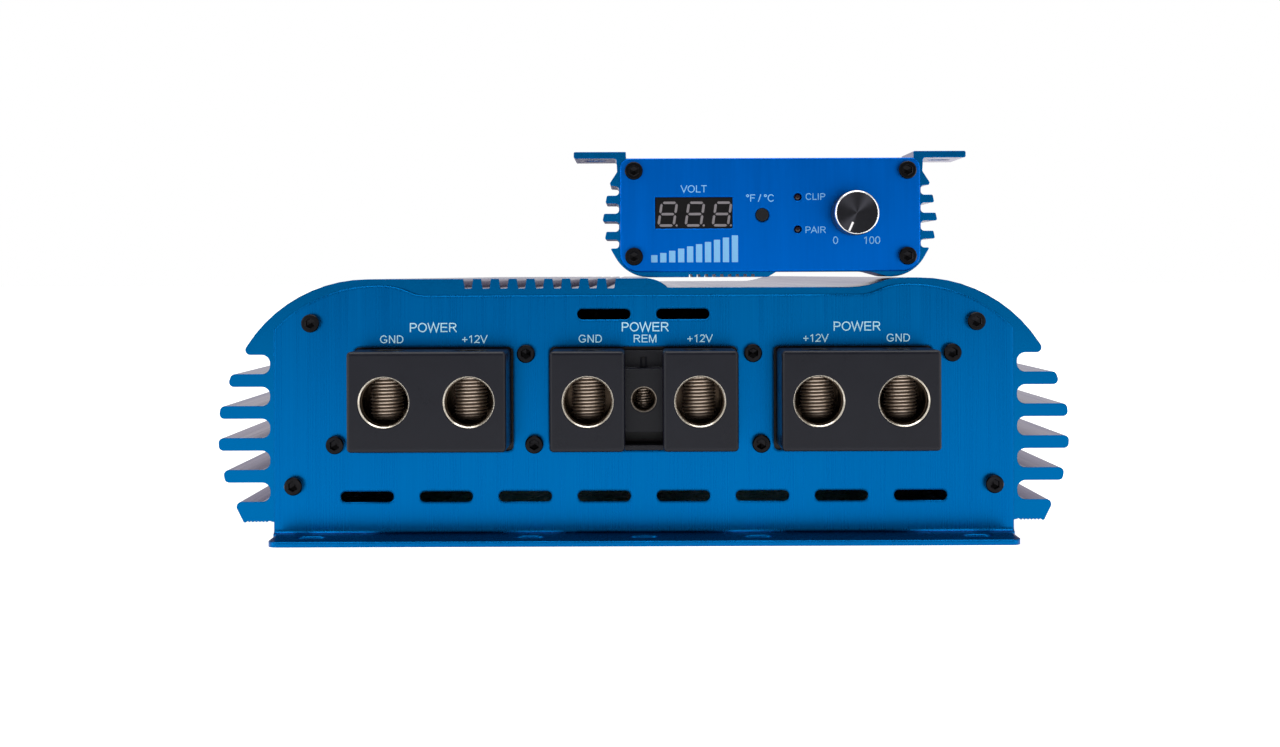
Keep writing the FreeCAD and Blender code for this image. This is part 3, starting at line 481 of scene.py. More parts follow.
def add_piece(name: str, points: np.ndarray, faces: np.ndarray,
              material: bpy.types.Material, smooth: bool = True) -> bpy.types.Object:
    """Makes a mesh object at the origin from arrays.

    Args:
        name: the piece's name.
        points: its corners, n by 3, in metres.
        faces: its faces as rows of corner numbers.
        material: its finish.
        smooth: whether its faces are shaded smooth.

    Returns:
        The new object, already in the scene.
    """
    mesh = bpy.data.meshes.new(name)
    mesh.from_pydata(points.tolist(), [], faces.tolist())
    mesh.polygons.foreach_set("use_smooth", np.full(len(mesh.polygons), smooth))
    mesh.materials.append(material)
    mesh.update()
    piece = bpy.data.objects.new(name, mesh)
    bpy.context.scene.collection.objects.link(piece)
    return piece


def grid_faces(rows: int, columns: int) -> np.ndarray:
    """Quads of a grid whose columns close on themselves.

    Args:
        rows: points along the profile.
        columns: points round the turn.

    Returns:
        One row of four corner numbers for each quad.
    """
    row, column = np.meshgrid(np.arange(rows - 1), np.arange(columns), indexing="ij")
    after = (column + 1) % columns
    quads = np.stack([row * columns + column, row * columns + after,
                      (row + 1) * columns + after, (row + 1) * columns + column], -1)
    return quads.reshape(-1, 4)


def turned(rows: list[tuple[Any, Any]], steps: int) -> tuple[np.ndarray, np.ndarray]:
    """A surface about Z: x = r cos a, y = r sin a, z = height.

    Args:
        rows: a radius and a height for each row, each one number or one for every angle.
        steps: how many angles there are in a turn.

    Returns:
        Its points and its faces.
    """
    angle = np.arange(steps) * TURN / steps
    radius, height = (np.array([np.broadcast_to(row[side], steps) for row in rows])
                      for side in (0, 1))
    points = np.stack([radius * np.cos(angle), radius * np.sin(angle), height], -1)
    return points.reshape(-1, 3), grid_faces(len(rows), steps)


def towards(points: np.ndarray, place: Vector, axis: Vector) -> np.ndarray:
    """Turns points so that their Z lies along axis, and moves them to place."""
    spin = Vector((0, 0, 1)).rotation_difference(axis).to_matrix()
    return points @ np.array(spin).T + np.array(place)


def many(shape: tuple[np.ndarray, np.ndarray], places: list[tuple[Vector, Vector]]
         ) -> tuple[np.ndarray, np.ndarray]:
    """Copies one shape to several places as a single mesh.

    Args:
        shape: its points and faces.
        places: an origin and an axis for each copy.

    Returns:
        The points and faces of all the copies.
    """
    points, faces = shape
    moved = [towards(points, place, axis) for place, axis in places]
    shifted = [faces + number * len(points) for number in range(len(places))]
    return np.concatenate(moved), np.concatenate(shifted)


def cap_screw(head: float = 2.75 * MM, height: float = 3.0 * MM) -> tuple[np.ndarray, np.ndarray]:
    """Cap screw head: a knurled rim, a chamfer, a hexagon key hole.

    The rim's radius is head minus a small cosine of 36 times the angle, and the key hole's radius
    is its flat distance over the cosine of the angle from the nearest flat.

    Args:
        head: the head's radius.
        height: the head's height.

    Returns:
        Points and faces, closed, with the head standing on the XY plane.
    """
    steps = 144
    angle = np.arange(steps) * TURN / steps
    ridges, ridge_share = 36, 0.012
    knurl = 1 - ridge_share * (1 + np.cos(ridges * angle))
    flat = 0.46 * head / np.cos((angle + SIXTH / 2) % SIXTH - SIXTH / 2)
    rows = [(POLE, -0.2 * height), (0.9 * head, -0.2 * height), (0.93 * head, 0.0),
            (head * knurl, 0.06 * height), (head * knurl, 0.82 * height),
            (0.985 * head, 0.88 * height), (0.9 * head, 0.985 * height), (0.86 * head, height),
            (flat * 1.16, height), (flat * 1.03, 0.96 * height), (flat, 0.88 * height),
            (flat, 0.42 * height), (POLE, 0.3 * height)]
    return turned(rows, steps)


def threaded(radius: float, length: float, pitch: float
             ) -> tuple[np.ndarray, np.ndarray, np.ndarray]:
    """Set screw with a true helical thread, a domed tip and a hexagon key hole.

    The thread's depth is a rounded ridge of the phase, which is height over pitch minus the
    angle over a turn, and it fades out at both ends.

    Args:
        radius: the crest's radius.
        length: the whole length, from the tip at z 0.
        pitch: the rise of one turn.

    Returns:
        Points and faces, closed, and for each point its share of the thread's depth.
    """
    steps, rows_a_turn = 72, 12
    start, lip, depth = 1.0 * MM, 0.3 * MM, 0.6 * pitch
    angle = np.arange(steps) * TURN / steps
    height = np.linspace(start, length - lip, int(length / pitch * rows_a_turn))[:, None]
    phase = (height / pitch - angle[None, :] / TURN) % 1.0
    ridge = np.clip(1.25 - np.abs(phase - 0.5) * 2.6, 0, 1)
    fade = np.clip((height - start) / pitch, 0, 1) * np.clip((length - height) / depth, 0, 1)
    root = radius - depth
    shaft = root + (radius - root) * ridge * fade
    flat = 0.5 * radius / np.cos((angle + SIXTH / 2) % SIXTH - SIXTH / 2)
    tip = [(share * root, at * MM) for share, at in
           ((POLE, 0.0), (0.45, 0.02), (0.72, 0.14), (0.88, 0.42), (0.97, 0.8))]
    key = [(root * 0.96, length), (flat * 1.08, length), (flat, length - lip),
           (flat, length - radius), (POLE, length - 1.15 * radius)]
    points, faces = turned([*tip, *zip(shaft, height), *key], steps)
    crest = np.concatenate([np.full((len(tip), steps), 0.25), ridge * fade,
                            np.full((len(key), steps), 0.6)])
    return points, faces, crest.reshape(-1)


def clusters(points: np.ndarray, reach: float) -> list[np.ndarray]:
    """Splits points into groups, each within reach of its first point."""
    groups = []
    while len(points):
        near = np.linalg.norm(points - points[0], axis=1) < reach
        groups.append(points[near])
        points = points[~near]
    return groups


def corners_of(node: bpy.types.Object) -> np.ndarray:
    """The corners of a node's mesh as an array."""
    flat = np.zeros(len(node.data.vertices) * 3)
    node.data.vertices.foreach_get("co", flat)
    return flat.reshape(-1, 3)


def plates(outlines: list[np.ndarray], y: float, depth: float) -> tuple[np.ndarray, np.ndarray]:
    """Thin flat prisms facing along Y.

    Args:
        outlines: a convex outline of (x, z) corners for each prism, all of one length,
            anticlockwise when seen from the front.
        y: where their faces lie.
        depth: how far they reach back from the face, negative for a rear panel.

    Returns:
        Points, and quads and fans as triangles.
    """
    count = len(outlines[0])
    points, faces = [], []
    ring = np.arange(count)
    after = (ring + 1) % count
    fan = np.stack([np.zeros(count - 2, int), ring[1:-1], ring[2:]], -1)
    sides = np.concatenate([np.stack([ring, ring + count, after], -1),
                            np.stack([after, ring + count, after + count], -1)])
    shape = np.concatenate([fan, fan[:, ::-1] + count, sides])
    for number, outline in enumerate(outlines):
        for level in (y, y + depth):
            points.append(np.column_stack([outline[:, 0], np.full(count, level), outline[:, 1]]))
        faces.append(shape + number * 2 * count)
    return np.concatenate(points), np.concatenate(faces)


# -------- the object


@dataclass
class Finisher:
    """Gives every carried-over node its finish and lends finishes to new pieces."""

    frame: dict[str, Any]
    made: dict[str, bpy.types.Material] = field(default_factory=dict)
    # The remote's housing takes the darker copy of its blue, which is painted shade.
    special: dict[str, str] = field(default_factory=lambda: {
        "remote_housing": "remote_extrusion", "power_terminals": "clamp_nickel",
        "speaker_terminals": "clamp_nickel", "turn_on_terminal": "turn_on_nickel"})

    def material(self, slot: str) -> bpy.types.Material:
        """The finish of a slot, made once."""
        if slot not in self.made:
            self.made[slot] = FINISHES[slot].build()
        return self.made[slot]

    def dress_nodes(self) -> None:
        """Assigns each node the finish of its record slot, or its own special one."""
        for row in self.frame["record"]["subparts"]:
            node = self.frame["nodes"][row["node"]]
            finish = self.special.get(row["node"], row["material_slot"])
            node.data.materials.clear()
            node.data.materials.append(self.material(finish))
            LOG.info("%s: %s", row["node"], finish)

    def add(self, name: str, shape: tuple[np.ndarray, np.ndarray], finish: str, body: str,
            slot: str, replaced: tuple[str, ...] = (), smooth: bool = False
            ) -> bpy.types.Object:
        """Makes a piece, rides it on its body and hides what it stands for.

        Args:
            name: the piece's name.
            shape: its points and faces.
            finish: the key of its finish.
            body: the body it rides on.
            slot: its record slot; not used.
            replaced: the nodes it stands for.
            smooth: whether it is shaded smooth.

        Returns:
            The piece.
        """
        piece = add_piece(name, *shape, self.material(finish), smooth)
        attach(piece, body)
        if replaced:
            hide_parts(*replaced)
        LOG.info("%s rides on %s", name, body)
        return piece


@dataclass
class Fasteners:
    """Cap screws of the amplifier and of its remote."""

    finisher: Finisher
    head_height: float = 3.0 * MM
    apart: float = 7.0 * MM

    def places(self, name: str) -> list[tuple[Vector, Vector]]:
        """Finds each screw in a node: its seat and the way that its head looks."""
        points = corners_of(self.finisher.frame["nodes"][name])
        middle = (points[:, 1].min() + points[:, 1].max()) / 2
        found = []
        for side in (-1, 1):
            half = points[(points[:, 1] - middle) * side > 0]
            outer = half[:, 1].max() if side > 0 else half[:, 1].min()
            heads = half[np.abs(half[:, 1] - outer) < 0.1 * MM] * [1, 0, 1]
            for group in clusters(heads, self.apart):
                x, _, z = (group.min(0) + group.max(0)) / 2
                seat = Vector((x, outer - side * self.head_height, z))
                found.append((seat, Vector((0, side, 0))))
        return found

    def build(self) -> None:
        """Replaces both groups of plain heads with knurled ones."""
        for node, body in (("panel_screws", "chassis"), ("remote_screws", "remote")):
            self.finisher.add(node + "_knurled", many(cap_screw(), self.places(node)),
                              "black_screw", body, "black_screw", (node,))


@dataclass
class SetScrews:
    """Threaded clamp screws over the wire bores."""

    finisher: Finisher
    pitches: dict[str, float] = field(default_factory=lambda: {
        "turn_on": 0.8 * MM, "speaker": 1.25 * MM, "other": 1.0 * MM})

    def build(self) -> None:
        """Cuts a true helix on every set screw, in the place of its ridged stand-in."""
        names = [row["node"] for row in self.finisher.frame["record"]["subparts"]
                 if row["node"].endswith("_set_screw")]
        for name in names:
            low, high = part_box(name)
            kind = next((key for key in self.pitches if name.startswith(key)), "other")
            points, faces, crest = threaded((high.x - low.x) / 2, high.z - low.z,
                                            self.pitches[kind])
            base = Vector(((low.x + high.x) / 2, (low.y + high.y) / 2, low.z))
            piece = self.finisher.add(name + "_helix", (points + np.array(base), faces),
                                      "cut_thread", name, "set_screw", (name,), smooth=True)
            share = piece.data.attributes.new("crest", "FLOAT", "POINT")
            share.data.foreach_set("value", crest)


def bend(x: float, y: float, wide: float, tall: float, start: float, end: float) -> np.ndarray:
    """Points of an elliptical arc.

    Args:
        x: the arc's centre across.
        y: the arc's centre up.
        wide: half its width.
        tall: half its height.
        start: where it begins, in degrees anticlockwise from the right.
        end: where it stops.

    Returns:
        One point for about every twelve degrees.
    """
    count = max(int(abs(end - start) / 12) + 1, 3)
    angle = np.radians(np.linspace(start, end, count))
    return np.column_stack([x + wide * np.cos(angle), y + tall * np.sin(angle)])


def line(*numbers: float) -> np.ndarray:
    """A row of points from x, y, x, y and so on."""
    return np.array(numbers, float).reshape(-1, 2)


def chain(*runs: np.ndarray) -> np.ndarray:
    """Several runs of points as one stroke."""
    return np.concatenate(runs)


STEM = line(0.17, 0, 0.17, 1)
LETTERS: dict[str, tuple[float, list[np.ndarray]]] = {
    " ": (0.36, []),
    "A": (0.93, [line(0.03, 0, 0.465, 0.97, 0.90, 0), line(0.2, 0.34, 0.73, 0.34)]),
    "B": (0.93, [STEM, chain(line(0.17, 0.936, 0.48, 0.936), bend(0.5, 0.73, 0.25, 0.206, 80, -80),
                             line(0.48, 0.524, 0.17, 0.524)),
                 chain(line(0.3, 0.524, 0.5, 0.524), bend(0.52, 0.294, 0.29, 0.23, 80, -80),
                       line(0.5, 0.064, 0.17, 0.064))]),
    "C": (1.01, [bend(0.53, 0.5, 0.41, 0.447, 36, 324)]),
    "D": (1.01, [STEM, chain(line(0.17, 0.936, 0.46, 0.936), bend(0.48, 0.5, 0.39, 0.436, 84, -84),
                             line(0.46, 0.064, 0.17, 0.064))]),
    "E": (0.93, [STEM, line(0.17, 0.936, 0.85, 0.936), line(0.17, 0.525, 0.81, 0.525),
                 line(0.17, 0.064, 0.87, 0.064)]),
    "F": (0.85, [STEM, line(0.17, 0.936, 0.80, 0.936), line(0.17, 0.52, 0.72, 0.52)]),
    "G": (1.09, [chain(bend(0.54, 0.5, 0.42, 0.447, 36, 316),
                       line(0.92, 0.22, 0.92, 0.43, 0.56, 0.43))]),
    "I": (0.39, [line(0.195, 0, 0.195, 1)]),
    "K": (0.93, [STEM, line(0.83, 1, 0.17, 0.36), line(0.39, 0.58, 0.87, 0)]),
    "L": (0.78, [chain(line(0.17, 1, 0.17, 0.064, 0.75, 0.064))]),
    "M": (1.16, [STEM, line(0.2, 0.98, 0.58, 0.04, 0.96, 0.98), line(0.99, 0, 0.99, 1)]),
    "N": (1.01, [STEM, line(0.19, 0.97, 0.82, 0.03), line(0.84, 0, 0.84, 1)]),
    "O": (1.09, [bend(0.543, 0.5, 0.43, 0.447, 0, 360)]),
    "P": (0.93, [STEM, chain(line(0.17, 0.936, 0.5, 0.936), bend(0.52, 0.7, 0.29, 0.236, 84, -84),
                             line(0.5, 0.464, 0.17, 0.464))]),
    "R": (1.01, [STEM, chain(line(0.17, 0.936, 0.56, 0.936),
                             bend(0.58, 0.718, 0.26, 0.218, 84, -84), line(0.56, 0.5, 0.17, 0.5)),
                 line(0.55, 0.47, 0.9, 0)]),
    "S": (0.93, [chain(bend(0.465, 0.724, 0.30, 0.216, 24, 258),
                       bend(0.465, 0.286, 0.335, 0.222, 80, -160))]),
    "T": (0.85, [line(0.03, 0.936, 0.82, 0.936), line(0.425, 0, 0.425, 0.9)]),
    "U": (1.01, [chain(line(0.17, 1, 0.17, 0.42), bend(0.505, 0.40, 0.335, 0.337, 184, 356),
                       line(0.84, 0.42, 0.84, 1))]),
    "V": (0.93, [line(0.04, 1, 0.465, 0.04, 0.89, 1)]),
    "W": (1.32, [line(0.05, 1, 0.345, 0.04, 0.66, 0.96, 0.975, 0.04, 1.27, 1)]),
    "0": (0.78, [bend(0.39, 0.5, 0.28, 0.447, 0, 360)]),
    "1": (0.78, [line(0.45, 0, 0.45, 0.98), line(0.45, 0.9, 0.17, 0.73)]),
    "2": (0.78, [chain(bend(0.39, 0.7, 0.275, 0.24, 168, -38), line(0.12, 0.07, 0.70, 0.07))]),
    "+": (0.82, [line(0.08, 0.44, 0.74, 0.44), line(0.41, 0.11, 0.41, 0.77)]),
    "/": (0.39, [line(0.02, -0.02, 0.37, 1.0)]),
    "°": (0.5, [bend(0.25, 0.82, 0.14, 0.14, 0, 360)]),
}


def ribbon(path: np.ndarray, width: float) -> tuple[np.ndarray, np.ndarray]:
    """A flat band along a path, with mitred joints.

    Args:
        path: its points, a closed path ending where it begins.
        width: the band's width.

    Returns:
        Points in the plane and quads.
    """
    closed = np.allclose(path[0], path[-1])
    way = np.diff(path, axis=0)
    way /= np.linalg.norm(way, axis=1)[:, None]
    before = np.vstack([way[-1:] if closed else way[:1], way])
    after = np.vstack([way, way[:1] if closed else way[-1:]])
    middle = before + after
    middle /= np.linalg.norm(middle, axis=1)[:, None]
    stretch = 1 / np.maximum(np.sum(middle * before, axis=1), 0.35)
    side = np.column_stack([-middle[:, 1], middle[:, 0]]) * (stretch * width / 2)[:, None]
    points = np.stack([path - side, path + side], 1).reshape(-1, 2)
    first = np.arange(len(path) - 1) * 2
    return points, np.column_stack([first, first + 2, first + 3, first + 1])


@dataclass
class Legends:
    """Printed words, laid as a film on the panels."""

    finisher: Finisher
    film: float = 0.04 * MM
    weight: float = 0.125
    layer: float = 0.002 * MM

    def word(self, text: str, height: float) -> tuple[np.ndarray, np.ndarray]:
        """A word as flat strokes in the XY plane, centred, with capitals of the given height.

        Each stroke lies one layer above the stroke before it, so that none share a plane.
        """
        points, faces, across, count = [], [], 0.0, 0
        for letter in text:
            advance, strokes = LETTERS[letter]
            for number, stroke in enumerate(strokes):
                flat, quads = ribbon(stroke, self.weight)
                lift = np.full(len(flat), (number + 1) * self.layer)
                points.append(np.column_stack([(flat[:, 0] + across) * height,
                                               (flat[:, 1] - 0.5) * height, lift]))
                faces.append(quads + count)
                count += len(flat)
            across += advance
        shape = np.concatenate(points)
        shape[:, 0] -= across * height / 2
        return shape, np.concatenate(faces)

    def print_word(self, name: str, text: str, place: tuple[float, float, float], height: float,
                   facing: Facing, body: str, slot: str, ink: str = "ink") -> None:
        """Prints a word centred on place.

        Args:
            name: the piece's name.
            text: what it says.
            place: its middle on the panel.
            height: the height of its capitals.
            facing: which way the panel looks.
            body: the body it rides on.
            slot: the record slot of the panel.
            ink: the finish of the print.
        """
        flat, faces = self.word(text, height)
        out = facing.value
        points = np.column_stack([place[0] - out * flat[:, 0],
                                  place[1] + out * (self.film + flat[:, 2]),
                                  place[2] + flat[:, 1]])
        self.finisher.add(name, (points, faces), ink, body, slot)


@dataclass
class FrontLegends:
    """Words over the power terminals."""

    legends: Legends
    main_height: float = 2.75 * MM
    small_height: float = 2.35 * MM
    main_rise: float = 6.4 * MM
    small_rise: float = 2.9 * MM
    spread: float = 1.0105
    aside: float = 0.5 * MM
    block_edge: float = 5 * MM

    def build(self) -> None:
        """Places each word over its block or its terminal."""
        plate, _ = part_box("heatsink")
        face = plate.y - PLATE
        for side in ("left", "middle", "right"):
            ground = self.centre(f"{side}_ground_set_screw")
            supply = self.centre(f"{side}_supply_set_screw")
            top = self.block_top(side)
            rows = [("power", "POWER", (ground + supply) / 2, self.main_rise, self.main_height),
                    ("ground", "GND", ground, self.small_rise, self.small_height),
                    ("supply", "+12V", supply, self.small_rise, self.small_height)]
            if side == "middle":
                rows.append(("turn_on", "REM", self.aside, self.small_rise, self.small_height))
            for key, text, x, rise, height in rows:
                self.legends.print_word(f"legend_{side}_{key}", text, (x, face, top + rise),
                                        height, Facing.FRONT, "chassis", "anodised_sheet")

    def centre(self, node: str) -> float:
        """The middle of a word over a node, set out a little wider than the node."""
        low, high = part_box(node)
        return (low.x + high.x) / 2 * self.spread + self.aside

    def block_top(self, side: str) -> float:
        """The top of a power block in front of the plate."""
        points = corners_of(self.legends.finisher.frame["nodes"][f"power_block_{side}"])
        front = points[points[:, 1] < points[:, 1].min() + self.block_edge]
        return float(front[:, 2].max())


@dataclass
class RearLegends:
    """Words by the controls and terminals of the rear end."""

    legends: Legends
    height: float = 1.9 * MM

    def build(self) -> None:
        """Names each knob, jack pair, lamp and socket."""
        _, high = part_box("heatsink")
        face = high.y + PLATE
        rows = [("gain_knob", "GAIN", 7.2), ("low_pass_knob", "LPF", 7.2),
                ("subsonic_knob", "SUB", 7.2), ("bass_knob", "BASS", 7.2),
                ("mode_switch_slider", "MODE", -5.2), ("link_socket", "LINK", 8.6),
                ("speaker_block_left", "SPEAKER", 19.6), ("speaker_block_right", "SPEAKER", 19.6),
                ("input_jack_sleeves", "INPUT", 13.6), ("status_lamps", "STATUS", -5.2)]
        for node, text, rise in rows:
            low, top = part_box(node)
            place = ((low.x + top.x) / 2, face, (low.z + top.z) / 2 + rise * MM)
            self.legends.print_word(f"legend_{node}", text, place, self.height, Facing.REAR,
                                    "chassis", "anodised_sheet")


@dataclass
class Remote:
    """Front of the wired remote: words, display digits, level mark and knob."""

    legends: Legends
    slant: float = 0.15
    stroke: float = 0.76 * MM
    digit: tuple[float, float] = (4.6 * MM, 6.9 * MM)
    digit_start: float = 0.95 * MM
    digit_pitch: float = 8.25 * MM
    digit_drop: float = 0.35 * MM
    digits_shown: int = 3
    segment_gap: float = 0.26 * MM
    point: float = 0.34 * MM
    point_gap: float = 0.9 * MM
    mark_depth: float = 0.05 * MM
    print_depth: float = 0.04 * MM
    bars: int = 10
    bar_start: float = -1.3 * MM
    bar_pitch: float = 2.72 * MM
    bar_width: float = 1.9 * MM
    bar_base: float = 10.3 * MM
    bar_height: float = 2.2 * MM
    bar_growth: float = 0.66 * MM
    knob_steps: int = 240
    knob_ridges: int = 60
    knob_gap: float = 0.9 * MM
    face_drop: float = 0.25 * MM
    pointer_lean: float = math.radians(24)
    pointer_width: float = 0.6 * MM

    def build(self) -> None:
        """Builds the four groups of detail."""
        self.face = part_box("remote_front_panel")[0].y
        self.words()
        self.digits()
        self.level_mark()
        self.knob()

    def words(self) -> None:
        """Prints the panel's words beside what they name."""
        low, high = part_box("remote_display")
        button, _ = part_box("remote_button")
        lamps_low, lamps_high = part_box("remote_lamps")
        knob_low, knob_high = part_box("remote_knob")
        middle = (knob_low.x + knob_high.x) / 2
        lamp = (lamps_low.x + lamps_high.x) / 2
        rows = [("volt", "VOLT", ((low.x + high.x) / 2, high.z + 2.6 * MM), 2.2),
                ("units", "°F / °C", (button.x + 1.3 * MM, button.z + 7.1 * MM), 2.2),
                ("clip", "CLIP", (lamp + 5.35 * MM, lamps_high.z - 1.0 * MM), 2.0),
                ("pair", "PAIR", (lamp + 5.35 * MM, lamps_low.z + 1.0 * MM), 2.0),
                ("zero", "0", (middle - 5.1 * MM, knob_low.z - 1.5 * MM), 2.3),
                ("full", "100", (middle + 5.9 * MM, knob_low.z - 1.5 * MM), 2.3)]
        for key, text, (x, z), height in rows:
            self.legends.print_word(f"legend_remote_{key}", text, (x, self.face, z), height * MM,
                                    Facing.FRONT, "remote", "anodised_remote", "remote_ink")

    def segment(self, start: np.ndarray, end: np.ndarray) -> np.ndarray:
        """A six-sided bar between two points, pointed at both ends."""
        along = (end - start) / np.linalg.norm(end - start)
        across = np.array([-along[1], along[0]]) * self.stroke / 2
        gap = along * self.segment_gap
        tip = along * self.stroke / 2
        start, end = start + gap, end - gap
        return np.array([start, start + tip - across, end - tip - across, end,
                         end - tip + across, start + tip + across])

    def digits(self) -> None:
        """Three slanted seven-segment digits with their points, all unlit."""
        low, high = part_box("remote_display")
        wide, tall = self.digit
        base = (low.z + high.z - tall) / 2 - self.digit_drop
        bars, dots = [], []
        ends = [((0, 0), (1, 0)), ((0, 1), (1, 1)), ((0, 2), (1, 2)), ((0, 0), (0, 1)),
                ((1, 0), (1, 1)), ((0, 1), (0, 2)), ((1, 1), (1, 2))]
        angle = np.arange(12) * TURN / 12
        for number in range(self.digits_shown):
            left = low.x + self.digit_start + number * self.digit_pitch
            for pair in ends:
                corners = [np.array([left + x * wide + z * tall / 2 * self.slant,
                                     base + z * tall / 2]) for x, z in pair]
                bars.append(self.segment(*corners))
            dot = np.array([left + wide + self.point_gap, base])
            dots.append(dot + self.point * np.column_stack([np.cos(angle), np.sin(angle)]))
        for name, outlines in (("display_segments", bars), ("display_points", dots)):
            shape = plates(outlines, low.y - self.mark_depth, self.mark_depth)
            self.legends.finisher.add(name, shape, "unlit", "remote", "display")

    def level_mark(self) -> None:
        """Rising bars under the display, a plain level mark."""
        low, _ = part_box("remote_display")
        outlines = []
        bottom = low.z - self.bar_base
        for number in range(self.bars):
            left = low.x + self.bar_start + number * self.bar_pitch
            right = left + self.bar_width
            top = bottom + self.bar_height + number * self.bar_growth
            outlines.append(np.array([[left, bottom], [right, bottom], [right, top], [left, top]]))
        shape = plates(outlines, self.face - self.print_depth, self.print_depth)
        self.legends.finisher.add("level_mark", shape, "remote_ink", "remote", "anodised_remote")

    def knob(self) -> None:
        """Turned level knob: knurled skirt, bright rim, spun face and a pointer."""
        low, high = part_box("remote_knob")
        centre = Vector(((low.x + high.x) / 2, high.y, (low.z + high.z) / 2))
        back = Vector((centre.x, self.face - self.knob_gap, centre.z))
        radius = (high.x - low.x) / 2 + 0.2 * MM
        depth = back.y - low.y
        finisher = self.legends.finisher
        steps = self.knob_steps
        angle = np.arange(steps) * TURN / steps
        knurl = radius - 0.11 * MM * (1 + np.cos(self.knob_ridges * angle))
        inside, sunk = radius - 0.52 * MM, depth - self.face_drop
        joint = (radius - 0.2 * MM, depth - 1.1 * MM)
        skirt = [(3.0 * MM, -7 * MM), (3.0 * MM, 3.8 * MM), (4.6 * MM, 3.8 * MM), (4.6 * MM, 0.0),
                 (radius - 0.4 * MM, 0.0), (knurl, 0.5 * MM), (knurl, depth - 1.3 * MM), joint]
        rim = [joint, (radius, depth - 1.0 * MM), (radius, depth - 0.48 * MM),
               (radius - 0.42 * MM, depth), (radius - 0.50 * MM, depth), (inside, sunk)]
        disc = [(inside * max(share, 1e-4), sunk) for share in np.linspace(1, 0, 14)]
        finisher.made["spun_face"] = Spun("knob_face", (0.014, 0.014, 0.017),
                                          tuple(centre)).build()
        for name, rows, finish, replaced in (
                ("knob_skirt", skirt, "dial", ("remote_knob",)),
                ("knob_rim", rim, "bright_rim", ()),
                ("knob_face", [*disc, (POLE, sunk)], "spun_face", ())):
            points, faces = turned(rows, steps)
            finisher.add(name, (towards(points, back, Vector((0, -1, 0))), faces), finish,
                         "remote_knob", "dial", replaced, smooth=True)
        along = np.array([-math.sin(self.pointer_lean), -math.cos(self.pointer_lean)])
        across = np.array([-along[1], along[0]]) * self.pointer_width / 2
        inner, outer = along * radius * 0.46, along * radius * 0.89
        middle = np.array([centre.x, centre.z])
        outline = np.array([inner + across, outer + across, outer - across, inner - across])
        shape = plates([outline[::-1] + middle], low.y + 0.17 * MM, 0.1 * MM)
        finisher.add("knob_pointer", shape, "pointer", "remote_knob", "dial")


# -------- studio


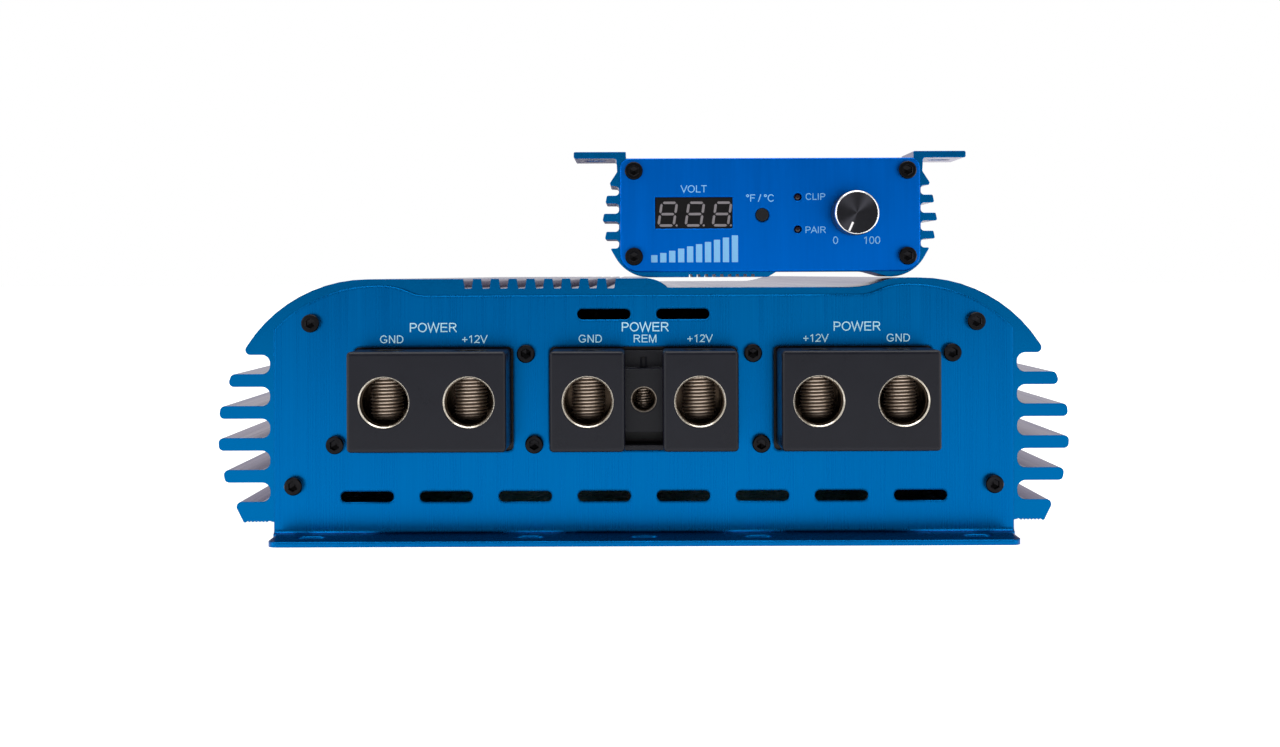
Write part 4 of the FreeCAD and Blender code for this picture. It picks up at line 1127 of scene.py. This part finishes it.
@dataclass
class Studio:
    """White floor, a room that is dark behind the camera, soft lights and the camera."""

    lens: float = 50.0
    distance: float = 532.0 * MM
    height: float = 78.6 * MM
    aside: float = -2.75 * MM
    shift: tuple[float, float] = (0.0047, -0.0772)
    roll: float = math.radians(0.2)
    side: float = 0.78
    dark: float = 0.30
    reach: float = 12.0
    pale: tuple[float, float] = (0.50, 0.53)
    table_light: float = 0.92
    soft_boxes: tuple[tuple[Any, ...], ...] = (
        ("top_box", (0.0, -0.35, 1.3), (0, -0.1, 0), (1.4, 0.8), 12),
        ("left_box", (-0.95, -0.85, 0.4), (0, -0.2, 0.05), (0.3, 0.9), 4),
        ("right_box", (1.05, -0.8, 0.4), (0, -0.2, 0.05), (0.3, 0.9), 3))

    def floor(self) -> None:
        """A wide floor that glows a little, as a lit table does."""
        shader = Shader("pale_floor")
        grain = shader.noise(3, 2.0)
        base = shader.blend(grain, *(colour(tone, tone, tone) for tone in self.pale))
        material = shader.finish(Base_Color=base, Roughness=0.9, Emission_Color=(1, 1, 1, 1),
                                 Emission_Strength=self.table_light)
        points = self.reach * np.array([[-1.0, -1, 0], [1, -1, 0], [1, 1, 0], [-1, 1, 0]])
        add_piece("floor", points, np.array([[0, 1, 2, 3]]), material)

    def light(self, name: str, place: tuple[float, float, float], aim: tuple[float, float, float],
              size: tuple[float, float], power: float) -> None:
        """One soft box that looks at a point."""
        lamp = bpy.data.lights.new(name, "AREA")
        lamp.shape = "RECTANGLE"
        lamp.size, lamp.size_y = size
        lamp.energy = power
        holder = bpy.data.objects.new(name, lamp)
        holder.location = place
        direction = Vector(aim) - Vector(place)
        holder.rotation_euler = direction.to_track_quat("-Z", "Y").to_euler()
        bpy.context.scene.collection.objects.link(holder)

    def room(self) -> None:
        """White as a backdrop; as a light, white with a dark patch towards -Y."""
        world = bpy.data.worlds.new("bright_room")
        nodes = Nodes(world)
        _, ahead, _ = nodes.split(nodes.add("ShaderNodeTexCoord", output="Generated"))
        side = ((ahead * -1.0 + 0.75) * 3.0).clamped()
        patch = ((ahead * -1.0 - 0.15) * 1.8).clamped()
        wall = nodes.blend(side, colour(1, 1, 1), colour(self.side, self.side, self.side))
        glow = nodes.blend(patch, wall, colour(self.dark, self.dark, self.dark))
        seen = nodes.add("ShaderNodeLightPath", output="Is Camera Ray")
        light = nodes.add("ShaderNodeBackground", None, {0: nodes.blend(seen, glow,
                                                                        colour(1, 1, 1))})
        output = nodes.tree.nodes.new("ShaderNodeOutputWorld")
        nodes.feed(output, {0: light})
        bpy.context.scene.world = world

    def lights(self) -> None:
        """Soft boxes above, to the left and to the right."""
        bpy.context.scene.view_settings.view_transform = "Standard"
        for box in self.soft_boxes:
            self.light(*box)

    def camera(self) -> None:
        """A camera square to the power end, level with the crown."""
        low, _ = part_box("heatsink")
        plate = low.y - PLATE
        lens = bpy.data.cameras.new("camera")
        lens.lens = self.lens
        lens.sensor_width = 36.0
        lens.shift_x, lens.shift_y = self.shift
        lens.clip_start = 0.01
        holder = bpy.data.objects.new("camera", lens)
        holder.location = (self.aside, plate - self.distance, self.height)
        holder.rotation_euler = (math.pi / 2, self.roll, 0)
        bpy.context.scene.collection.objects.link(holder)
        bpy.context.scene.camera = holder

    def build(self) -> None:
        """Sets up the whole studio."""
        self.floor()
        self.room()
        self.lights()
        self.camera()


def main() -> None:
    """Builds the looks in order and reports each piece."""
    logging.basicConfig(level=logging.INFO, format="%(message)s")
    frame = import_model()
    finisher = Finisher(frame)
    finisher.dress_nodes()
    Studio().build()
    Fasteners(finisher).build()
    SetScrews(finisher).build()
    legends = Legends(finisher)
    FrontLegends(legends).build()
    RearLegends(legends).build()
    Remote(legends).build()


if __name__ == "__main__":
    main()
